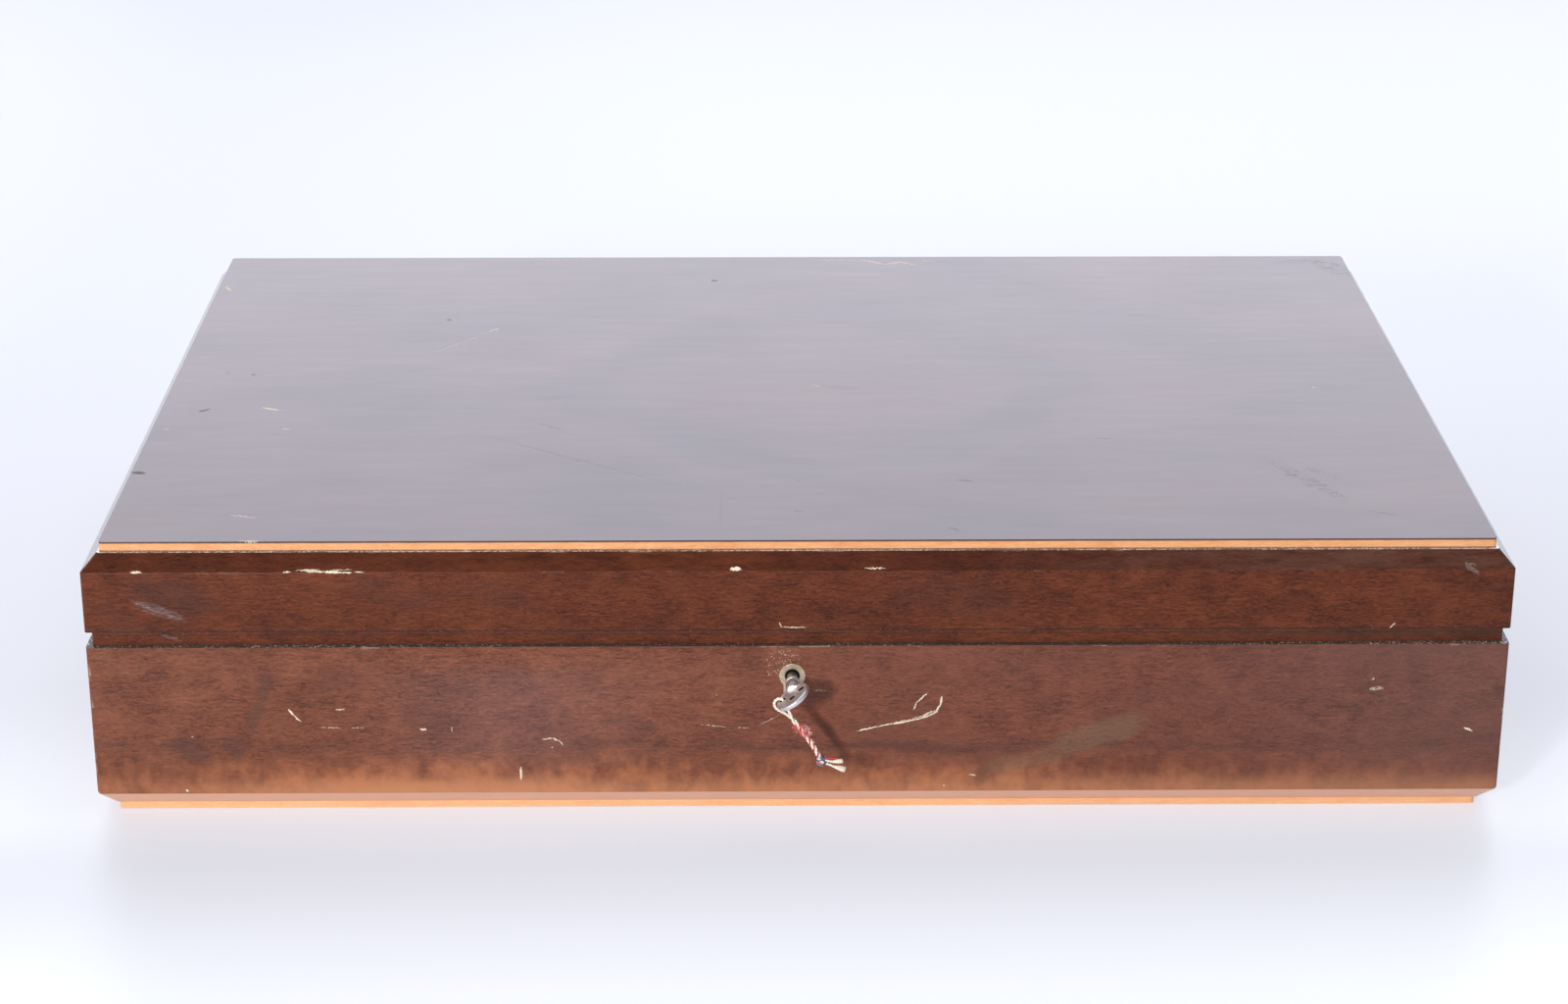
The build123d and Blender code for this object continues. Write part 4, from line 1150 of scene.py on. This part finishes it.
# %% Marks on the top
top_chips = [
    (0.30, 0.6, (-139, 34.5), (-116, 64)),
    (0.60, 0.8, (-119, 61), (-115.5, 64.5)),
    (1.0, 0.9, (-196, -27.5), (-191, -29.5)),
    (0.9, 0.7, (-186, -49.3), (-184.6, -49.8)),
    (1.1, 0.8, (-231.5, 119), (-229, 114)),
    # the splintered back edge
    (0.6, 0.6, (13.5, 153), (24, 153.5), (31, 152)),
    (1.1, 0.8, (31, 153.5), (41, 147.5), (48, 150.5)),
    (1.1, 0.8, (47, 151), (53.5, 146)),
    (0.9, 0.6, (55, 152), (62, 151)),
    (0.45, 0.7, (-193, -133.8), (-185, -136.3)),
    (0.5, 0.9, (-187, -157.2), (-181, -157.2)),
    (0.8, 0.7, (196, -7.5), (196.6, -7.7)),
    (0.6, 0.5, (-232.3, 87), (-231.8, 86)),
    (0.6, 0.5, (-229, -49), (-228.4, -50.2)),
    (0.8, 0.30, (7, -2), (10, -5)),
]
top_stains = [
    (0.9, 0.42, (-136.4, 75.2), (-135.8, 75)),
    (1.0, 0.50, (-31.2, 125.5), (-30.4, 125.3)),
    (0.8, 0.24, (-215.6, 12.2), (-215.2, 12)),
    (0.9, 0.34, (-205.5, 9.9), (-205, 9.7)),
    (1.1, 0.42, (-219, -30.6), (-217, -29)),
    (2.2, 0.10, (10, -4), (24, -8)),
    (0.28, 0.22, (-118, -53), (-35, -112)),
    (0.8, 0.15, (-93, -45), (-85, -51)),
    (1.5, 0.60, (-232.4, -93.5), (-230.6, -93.8)),
    (0.7, 0.30, (57, -103), (61, -103.6)),
    (0.7, 0.18, (108, -61.5), (115, -61.8)),
    (0.7, 0.26, (51, -147.4), (54.5, -150)),
    (0.6, 0.20, (0.4, -103.4), (1, -103.8)),
    (0.5, 0.10, (-26.4, -113), (-26.2, -150)),
    (0.8, 0.18, (-0.6, -131.6), (1.2, -132)),
    (0.5, 0.22, (196, -133.6), (204.6, -137)),
]
top_rubs = [
    # the scuff near the right front and the worn back corner
    (3.6, 0.24, (170, -88), (187, -119)),
    (2.0, 0.16, (182, -92), (190, -104)),
    (6.0, 0.24, (224, 148), (230, 136)),
    (3.0, 0.18, (212, 150), (222, 151)),
]
print(len(top_chips) + len(top_stains) + len(top_rubs), "marks on the top")

# %% Make the top veneer
top_veneer, tree, shader, place = new_material("top_veneer", Specular_IOR_Level=0.5)
split = split_up(place)
eye_middle_x, eye_middle_y = 10.0, -2.0
eye_half_width, eye_half_depth = 110.0, 104.0
out_x = calc("ABSOLUTE", split["X"] - eye_middle_x) / eye_half_width
out_y = calc("ABSOLUTE", split["Y"] - eye_middle_y) / eye_half_depth
rounded = calc("SQRT", out_x * out_x + out_y * out_y)
wander = noise(place, (0.012, 0.02, 0.0), 3.0, 0.55)
eye = (out_x + out_y) * 0.6 + rounded * 0.4 + (wander - 0.5) * 0.5
fine_grain = noise(place, (0.10, 1.3, 1.0), 4.0, 0.65, 0.3)
cloudy = noise(place, (0.010, 0.022, 0.0), 3.0, 0.55)
tone = 0.48 - between(eye, 0.80, 0.98, 0.14) * 0.28
tone = tone + between(eye, 1.06, 1.12, 0.05) * 0.16
tone = tone + between(eye, 0.0, 0.62, 0.16) * 0.14
tone = tone - between(eye, 1.5, 1.85, 0.2) * 0.12
tone = tone + (fine_grain - 0.5) * 0.38
tone = calc("ADD", tone, (cloudy - 0.5) * 1.3, clamp=True)
colour = mixed(tone, (0.034, 0.024, 0.028), (0.112, 0.048, 0.036))
flat_place = vector_calc("MULTIPLY", place, (1.0, 1.0, 0.0))
chips = strokes(frayed(flat_place, 2.2, 1.6), top_chips)
stains = strokes(frayed(flat_place, 1.6, 1.2), top_stains)
streaky = noise(place, (0.25, 0.5, 0.0), 4.0, 0.75)
rubs = strokes(frayed(flat_place, 9.0, 6.0), top_rubs) * ramp_up(streaky, 0.42, 0.62)
stains = calc("MAXIMUM", stains, rubs)
colour = mixed(stains, colour, (0.03, 0.02, 0.015))
colour = mixed(chips * 0.9, colour, (0.85, 0.76, 0.62))
rough = noise(place, 0.02, 4.0) * 0.10 + 0.17 + calc("MAXIMUM", chips, stains) * 0.5
ripple = noise(place, (0.02, 0.06, 0.02), 2.0)
height = ripple + fine_grain * 0.03
dress(shader, colour, height, strength=0.10, distance=0.001, roughness=rough)
finish_nodes(top_veneer, "top_veneer", "top_veneer")
print("top veneer", len(tree.nodes), "nodes")

# %% [markdown]
# ## The pale board edges
# The lid's and the foot's boards are a light orange wood, and only their edges show as two
# bright lines. The grain runs along them. The lid's edge is darker along its lower side, where
# it meets the bevel, with pale specks there, and has a thin glue line above, under the veneer.

# %% Make the pale wood
pale_wood, tree, shader, place = new_material("pale_wood", Specular_IOR_Level=0.3)
split = split_up(place)
foot_board = ramp_up(split["Z"], 10.0, 4.0)
dark_board = mixed(foot_board, (0.68, 0.26, 0.095), (0.80, 0.36, 0.165))
pale_board = mixed(foot_board, (0.89, 0.52, 0.265), (0.90, 0.57, 0.325))
grain = use(
    grain_group, Place=place, Dark=dark_board, Pale=pale_board, Fibre=1.1, Mottle=0.5, Curl=0.3, Seed=5.0
)
chipped = wear(place, radius=0.0007, amount=0.3, patch_size=9.0)["Chipped"]
colour = mixed(chipped * 0.6, grain["Colour"], (0.85, 0.70, 0.52))
# the lid edge's lower side is darker, with pale specks
lower_dark_line = between(split["Z"], lid_wall_top - 1.6, lid_wall_top + 0.55, 0.12)
grit = use(speck_group, Place=place, Size=0.6, Share=0.5)["Mask"]
lower_line_colour = mixed(grit * 0.8, (0.17, 0.085, 0.06), (0.60, 0.50, 0.43))
colour = mixed(lower_dark_line * 0.85, colour, lower_line_colour)
glue_line = between(split["Z"], lid_board_top - 0.2, lid_board_top + 0.35, 0.1)
colour = mixed(glue_line * (noise(place, 0.4, 3.0) + 0.1), colour, (0.20, 0.09, 0.05))
dress(shader, colour, grain["Height"], strength=0.2, distance=0.0002, roughness=0.5)
finish_nodes(pale_wood, "pale_wood", "base_board", "lid_board")
print("pale wood ready")

# %% [markdown]
# ## Old metal as a node group
# Brass, steel and the plated key all dull in the same way: a clean colour shows through a
# darker film in blotches, rubbed off the edges. On the keyhole ring and the key's shank painted shade
# darkens both.

# %% Make the old metal group
metal_group, given, made = new_group(
    "old_metal",
    [
        ("Place", "vector", (0, 0, 0)),
        ("Clean", "colour", (0.6, 0.45, 0.2)),
        ("Film", "colour", (0.2, 0.13, 0.06)),
        ("Film Amount", "value", 0.5),
        ("Edge", "value", 0.0),
        ("Smooth", "value", 0.3),
    ],
    [("Colour", "colour"), ("Roughness", "value"), ("Height", "value")],
)
tree = metal_group
blotches = noise(given["Place"], 0.55, 4.0, 0.65, 0.4)
fine_marks = noise(given["Place"], (1.0, 6.0, 6.0), 3.0, 0.6)
film = ramp_up(blotches + given["Film Amount"] * 0.4, 0.45, 0.85) * (1.0 - given["Edge"])
put(made["Colour"], mixed(film, given["Clean"], given["Film"]))
put(made["Roughness"], given["Smooth"] + film * 0.22 + fine_marks * 0.08)
put(made["Height"], blotches * 0.6 + fine_marks * 0.4)
print(metal_group.name, len(tree.nodes), "nodes")

# %% Painted shade and highlights on the keyhole ring and the key
bow_middle_y = -180.5
key_angle = math.radians(56.0)


def shaded_keyhole(place):
    """Painted shade on the keyhole ring's inner edge and inside the hole."""
    flat_place = vector_calc("MULTIPLY", place, (1.0, 0.0, 1.0))
    out = vector_calc("DISTANCE", flat_place, (keyhole_x, 0.0, keyhole_z), result="Value")
    return ramp_up(out, 2.75, 2.45)


def dark_shank(place):
    """Painted shade on the key's shank and neck, strongest near the hole, which dims their reflections;
    the bow stays bright.
    """
    out = split_up(place)["Y"]
    shank_and_neck = ramp_up(out, -175.8, -174.4)
    near_hole = ramp_up(out, -167.9, -166.6) * 0.70
    return shank_and_neck * (near_hole + 0.18)


def painted_bow_holes(place, colour):
    """Painted shade inside the bow's three holes, and a painted highlight as a bright lip round each."""
    across_way = (math.sin(key_angle), 0.0, math.cos(key_angle))
    from_bow = vector_calc("SUBTRACT", place, (keyhole_x, bow_middle_y, keyhole_z))
    across = vector_calc("DOT_PRODUCT", from_bow, across_way, result="Value")
    out = vector_calc("DOT_PRODUCT", from_bow, (0.0, -1.0, 0.0), result="Value")
    flat_bow = joined(X=across, Y=out)
    holes = ((-3.7, -1.1, 0.0), (3.7, -1.1, 0.0), (0.0, 1.7, 0.0))
    left, right, upper = (vector_calc("DISTANCE", flat_bow, hole, result="Value") for hole in holes)
    nearest = calc("MINIMUM", calc("MINIMUM", left, right), upper)
    # a painted highlight round each hole, then painted shade inside it
    colour = mixed(between(nearest, 1.2, 1.65, 0.15), colour, (1.0, 0.98, 0.95))
    return mixed(ramp_up(nearest, 1.2, 1.1), colour, (0.06, 0.045, 0.035))


print("grime ready")

# %% Make the metals


def metal(name, clean, film, film_amount, smooth, wear_radius, painted_shade_mask=None, holes=None):
    """One metal: the old metal group, brighter where its edges are rubbed."""
    material, _, shader, place = new_material(name, Metallic=1.0)
    if painted_shade_mask:
        # painted shade darkens the clean colour and the film where the mask says
        hole_and_shank_shade = painted_shade_mask(place)
        clean = mixed(hole_and_shank_shade, clean, (0.12, 0.12, 0.105))
        film = mixed(hole_and_shank_shade, film, (0.05, 0.05, 0.04))
    edge = wear(place, wear_radius, amount=0.8, patch_size=3.0)["Rubbed"]
    films = {"Clean": clean, "Film": film, "Film_Amount": film_amount}
    old = use(metal_group, Place=place, Edge=edge, Smooth=smooth, **films)
    colour = holes(place, old["Colour"]) if holes else old["Colour"]
    dress(shader, colour, old["Height"], strength=0.25, distance=0.0001, roughness=old["Roughness"])
    return material


brass = metal(
    "old_brass",
    clean=(0.72, 0.56, 0.33),
    film=(0.36, 0.26, 0.13),
    film_amount=0.45,
    smooth=0.26,
    wear_radius=0.0004,
)
ring_metal = metal(
    "keyhole_ring",
    clean=(0.78, 0.65, 0.50),
    film=(0.46, 0.36, 0.26),
    film_amount=0.45,
    smooth=0.32,
    wear_radius=0.0003,
    painted_shade_mask=shaded_keyhole,
)
lock_steel = metal(
    "lock_steel",
    clean=(0.52, 0.51, 0.49),
    film=(0.25, 0.22, 0.19),
    film_amount=0.5,
    smooth=0.35,
    wear_radius=0.0003,
)
key_metal = metal(
    "plated_key",
    clean=(0.89, 0.87, 0.88),
    film=(0.58, 0.55, 0.56),
    film_amount=0.45,
    smooth=0.31,
    wear_radius=0.0004,
    painted_shade_mask=dark_shank,
    holes=painted_bow_holes,
)
brass_nodes = [f"hinge_{part}_leaf_{side}" for part in ("body", "lid") for side in ("left", "right")]
brass_nodes += ["hinge_pins", "hinge_screws_body", "hinge_screws_lid"]
brass_nodes += ["lock_plate", "lock_case", "lock_screws", "link_plate", "link_screws"]
finish_nodes(brass, "brass", *brass_nodes)
finish_nodes(ring_metal, "brass", "escutcheon")
finish_nodes(lock_steel, "lock_steel", "lock_bolt", "lock_spring", "drill_pin")
finish_nodes(key_metal, "key_metal", "key")
print("metals ready")

# %% [markdown]
# ## Velvet and satin
# The racks, dividers and walls inside are covered in dark red velvet, and the lid is lined with
# padded ivory satin. Velvet looks lighter where it turns away from the eye, which the shader's
# sheen gives. A weave or pile group supplies the fine threads for both cloths.

# %% Make the cloth group
cloth_group, given, made = new_group(
    "cloth_threads",
    [
        ("Place", "vector", (0, 0, 0)),
        ("Colour In", "colour", (0.2, 0.02, 0.04)),
        ("Shade", "value", 0.3),
        ("Thread", "value", 0.3),
        ("Crush", "value", 20.0),
    ],
    [("Colour", "colour"), ("Height", "value")],
)
tree = cloth_group
threads = noise(given["Place"], 1.0 / given["Thread"], 2.0, 0.5)
crushed = noise(given["Place"], 1.0 / given["Crush"], 4.0, 0.6, 0.8)
shade = ramp_up(threads * 0.5 + crushed * 0.9, 0.35, 1.05) * given["Shade"]
put(made["Colour"], mixed(shade, given["Colour In"], (0.0, 0.0, 0.0)))
put(made["Height"], threads * 0.7 + crushed * 0.3)
print(cloth_group.name, len(tree.nodes), "nodes")

# %% Make the velvet and the satin


def cloth(name, colour, shade, thread, crush, bump_depth, **constants):
    """One cloth finish."""
    material, _, shader, place = new_material(name, **constants)
    threads = use(cloth_group, Place=place, Colour_In=colour, Shade=shade, Thread=thread, Crush=crush)
    dress(shader, threads["Colour"], threads["Height"], strength=0.6, distance=bump_depth)
    return material


velvet = cloth(
    "red_velvet",
    colour=(0.17, 0.012, 0.028),
    shade=0.6,
    thread=0.35,
    crush=16.0,
    bump_depth=0.0002,
    Roughness=0.95,
    Sheen_Weight=0.7,
    Sheen_Roughness=0.35,
    Sheen_Tint=(0.9, 0.35, 0.42),
    Specular_IOR_Level=0.15,
)
satin = cloth(
    "ivory_satin",
    colour=(0.70, 0.62, 0.46),
    shade=0.22,
    thread=0.25,
    crush=30.0,
    bump_depth=0.00008,
    Roughness=0.38,
    Sheen_Weight=0.25,
    Sheen_Roughness=0.3,
    Anisotropic=0.5,
    Specular_IOR_Level=0.6,
)
velvet_nodes = ["floor_lining", "front_lining", "back_lining", "left_lining", "right_lining", "lid_lining"]
velvet_nodes += ["divider_left", "divider_right"]
for kind in ("knife", "fork", "spoon"):
    velvet_nodes += [f"{kind}_rack_front", f"{kind}_rack_back"]
finish_nodes(velvet, "velvet", *velvet_nodes)
print("cloths ready")

# %% [markdown]
# ## String finishes
# The plies are real geometry, so their colour only needs slight shading and fine fibres. Six
# threads take part: cream, red, pink, blue-grey, navy and white.

# %% Colour the string


def yarn(name, colour):
    """A soft spun thread of one colour."""
    look = {"Roughness": 0.9, "Sheen_Weight": 0.3, "Specular_IOR_Level": 0.2}
    return cloth(name, colour, shade=0.18, thread=0.12, crush=1.5, bump_depth=0.00006, **look)


cream_thread = yarn("cream_thread", (0.96, 0.90, 0.78))
red_thread = yarn("red_thread", (0.74, 0.055, 0.070))
pink_thread = yarn("pink_thread", (0.90, 0.17, 0.18))
grey_thread = yarn("blue_grey_thread", (0.17, 0.21, 0.25))
navy_thread = yarn("navy_thread", (0.04, 0.06, 0.14))
white_thread = yarn("white_thread", (0.92, 0.90, 0.90))
for finish, *pieces in (
    (cream_thread, key_string, string_tails),
    (red_thread, red_yarn, fuzz_loop, tail_thread),
    (pink_thread, red_fuzz, knot_pink),
    (grey_thread, knot_core, knot_grey),
    (navy_thread, knot_navy),
    (white_thread, knot_white, pale_fuzz),
):
    for piece in pieces:
        piece.data.materials.append(finish)
print("string coloured")

# %% [markdown]
# ## The padded lid lining
# Inside the lid a sheet of wadding under satin swells away from the board. It is modelled as a
# closed pillow: flat against the board, drawn in at its edge and crowned towards the middle.
# A short cloth simulation with a little air pressure gives the satin its soft, uneven swell.

# %% Shape the pillow
pad_low, pad_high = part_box("lid_cushion")
pad_columns, pad_rows = 76, 50
pad_edge = 5.4 * MM
pad_crown = 3.6 * MM
pad_inset = 0.4 * MM
border_power, middle_power = 14, 3


def pad_point(u, v, lower):
    """A point of the pillow; u and v run from -1 to 1 and lower picks its crowned side."""
    half_x = (pad_high.x - pad_low.x) / 2 - pad_inset
    half_y = (pad_high.y - pad_low.y) / 2 - pad_inset
    border = (1 - abs(u) ** border_power) * (1 - abs(v) ** border_power)
    middle = (1 - abs(u) ** middle_power) * (1 - abs(v) ** middle_power)
    z = pad_high.z
    if lower:
        z -= pad_edge * max(border, 0.0) ** 0.5 + pad_crown * max(middle, 0.0) ** 0.7
    return Vector((half_x * u, half_y * v, z))


pad_mesh = bmesh.new()
sheets = []
for lower in (False, True):
    sheet = {}
    for i in range(pad_columns + 1):
        for j in range(pad_rows + 1):
            rim = i in (0, pad_columns) or j in (0, pad_rows)
            if lower and rim:
                sheet[i, j] = sheets[0][i, j]
                continue
            u = math.sin(math.pi / 2 * (2 * i / pad_columns - 1))
            v = math.sin(math.pi / 2 * (2 * j / pad_rows - 1))
            sheet[i, j] = pad_mesh.verts.new(pad_point(u, v, lower))
    sheets.append(sheet)
for sheet in sheets:
    for i in range(pad_columns):
        for j in range(pad_rows):
            pad_mesh.faces.new((sheet[i, j], sheet[i + 1, j], sheet[i + 1, j + 1], sheet[i, j + 1]))
lid_pad = as_object("lid_satin_pad", pad_mesh)
print("pad", len(lid_pad.data.polygons), "faces")

# %% Let the satin swell
swell_frames = 12


def swell(piece, pressure, most, held_above):
    """Runs a short pressure simulation, caps how far each point moves, and keeps the top flat."""
    rest = [v.co.copy() for v in piece.data.vertices]
    held = piece.vertex_groups.new(name="held")
    held.add([i for i, co in enumerate(rest) if co.z > held_above], 1.0, "REPLACE")
    modifier = piece.modifiers.new("cloth", "CLOTH")
    modifier.settings.use_pressure = True
    modifier.settings.uniform_pressure_force = pressure
    modifier.settings.effector_weights.gravity = 0.0
    modifier.settings.vertex_group_mass = "held"
    modifier.settings.shrink_min = -0.012
    scene = bpy.context.scene
    for step in range(1, swell_frames + 1):
        scene.frame_set(step)
    moved = piece.evaluated_get(bpy.context.evaluated_depsgraph_get()).to_mesh()
    after = [v.co.copy() for v in moved.vertices]
    piece.modifiers.remove(modifier)
    scene.frame_set(1)
    for vertex, before, now in zip(piece.data.vertices, rest, after):
        shift = now - before
        if shift.length > most:
            shift *= most / shift.length
        vertex.co = before + shift


swell(lid_pad, pressure=0.6, most=1.6 * MM, held_above=pad_high.z - 0.2 * MM)
smoother = lid_pad.modifiers.new("smoother", "SUBSURF")
smoother.levels = 1
smoother.render_levels = 1
lid_pad.data.materials.append(satin)
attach(lid_pad, "lid")
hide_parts("lid_cushion")
print("pad lowest", round(min(v.co.z for v in lid_pad.data.vertices) / MM, 2), "mm")

# %% [markdown]
# ## Floor, light and air
# The chest stands on a white sweep. A large soft light hangs overhead and a little behind, so
# the chest shades the floor in front of it. A second comes from the front left, which throws the
# key's shadow to the right. A pale panel behind is what the polished top mirrors. What the
# camera and reflections see of the floor also carries a painted pool of light and shade round the chest.

# %% Make the floor
floor_size = 9.0
floor_mesh = bmesh.new()
bmesh.ops.create_grid(floor_mesh, x_segments=6, y_segments=6, size=floor_size / 2)
floor = as_object("floor", floor_mesh)
floor.location.z = -0.0002
floor_board, tree, shader, place = new_material("white_table", Roughness=0.40, Specular_IOR_Level=0.35)
soft_tone = noise(place, 0.006, 3.0)
ray = add(tree, "LightPath")
seen = calc("MAXIMUM", ray["Is Glossy Ray"], ray["Is Transmission Ray"])
seen = calc("MAXIMUM", ray["Is Camera Ray"], seen)
true_colour = mixed(soft_tone, (0.86, 0.865, 0.89), (0.89, 0.895, 0.92))
put(shader.inputs["Base Color"], mixed(seen, true_colour, (0.455, 0.475, 0.535)))
put(shader.inputs["Emission Color"], (0.905, 0.935, 1.0))
floor_split = split_up(place)
# Painted pool of light and shade round the chest, seen by the camera and in reflections: brighter at its
# foot and in front, darker beside it and to the left, lighter far behind.
rightward = ramp_up(floor_split["X"], -60.0, 300.0) * 0.05
in_front = ramp_up(floor_split["Y"], -215.0, -300.0) * 0.15
at_front = ramp_up(floor_split["Y"], -170.0, -230.0) * rightward
at_foot = ramp_up(floor_split["Y"], -205.0, -162.0) * 0.10
beside = ramp_up(floor_split["Y"], -175.0, -50.0) * -0.17
far_behind = ramp_up(floor_split["Y"], 0.0, 900.0) * 0.06
leftward = ramp_up(floor_split["X"], 0.0, -350.0) * -0.05
painted_light_pool = in_front + at_foot + beside + far_behind + leftward + at_front
fading_x = ramp_up(calc("ABSOLUTE", floor_split["X"]), 560.0, 340.0)
fading_y = ramp_up(floor_split["Y"], -620.0, -320.0)
put(shader.inputs["Emission Strength"], seen * (painted_light_pool * fading_x * fading_y + 0.43))
floor.data.materials.append(floor_board)
floor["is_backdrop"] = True
print("floor", floor_size, "m")

# %% Hang the lights


def soft_light(name, place, aim, size, size_y, watts, colour):
    """A rectangular lamp that faces a point."""
    data = bpy.data.lights.new(name, "AREA")
    data.shape = "RECTANGLE"
    data.size, data.size_y = size, size_y
    data.energy = watts
    data.color = colour
    lamp = bpy.data.objects.new(name, data)
    bpy.context.scene.collection.objects.link(lamp)
    way = Vector(aim) - Vector(place)
    lamp.matrix_world = Matrix.Translation(place) @ way.to_track_quat("-Z", "Y").to_matrix().to_4x4()
    lamp.visible_camera = False
    return lamp


soft_light(
    "overhead",
    place=(0.0, 0.45, 1.8),
    aim=(0, 0, 0),
    size=2.0,
    size_y=1.4,
    watts=15.0,
    colour=(1.0, 0.99, 0.98),
)
soft_light(
    "front_left",
    place=(-0.86, -1.92, 0.70),
    aim=(0, -0.16, 0.05),
    size=0.26,
    size_y=0.26,
    watts=31.0,
    colour=(1.0, 0.95, 0.90),
)
back_panel = soft_light(
    "back_panel",
    place=(-0.1, 2.0, 0.86),
    aim=(0, 0, 0.1),
    size=2.6,
    size_y=1.15,
    watts=22.9,
    colour=(0.86, 0.86, 1.0),
)
back_panel.visible_diffuse = False

world = bpy.data.worlds.new("studio_air")
bpy.context.scene.world = world
world.use_nodes = True
world.node_tree.nodes["Background"].inputs["Color"].default_value = (0.93, 0.95, 1.0, 1.0)
world.node_tree.nodes["Background"].inputs["Strength"].default_value = 0.42
bpy.context.scene.view_settings.view_transform = "Standard"
print("three lamps and the air")

# %% [markdown]
# ## Finish
# The last cell measures the box of the dressed model against that of the solids and prints how much it
# grew.

# %% Measure how much the box grew
new_low, new_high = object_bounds()
grown = ((new_high - new_low) - (cad_high - cad_low)) / MM
print("box grew by", [round(length, 2) for length in grown], "mm")
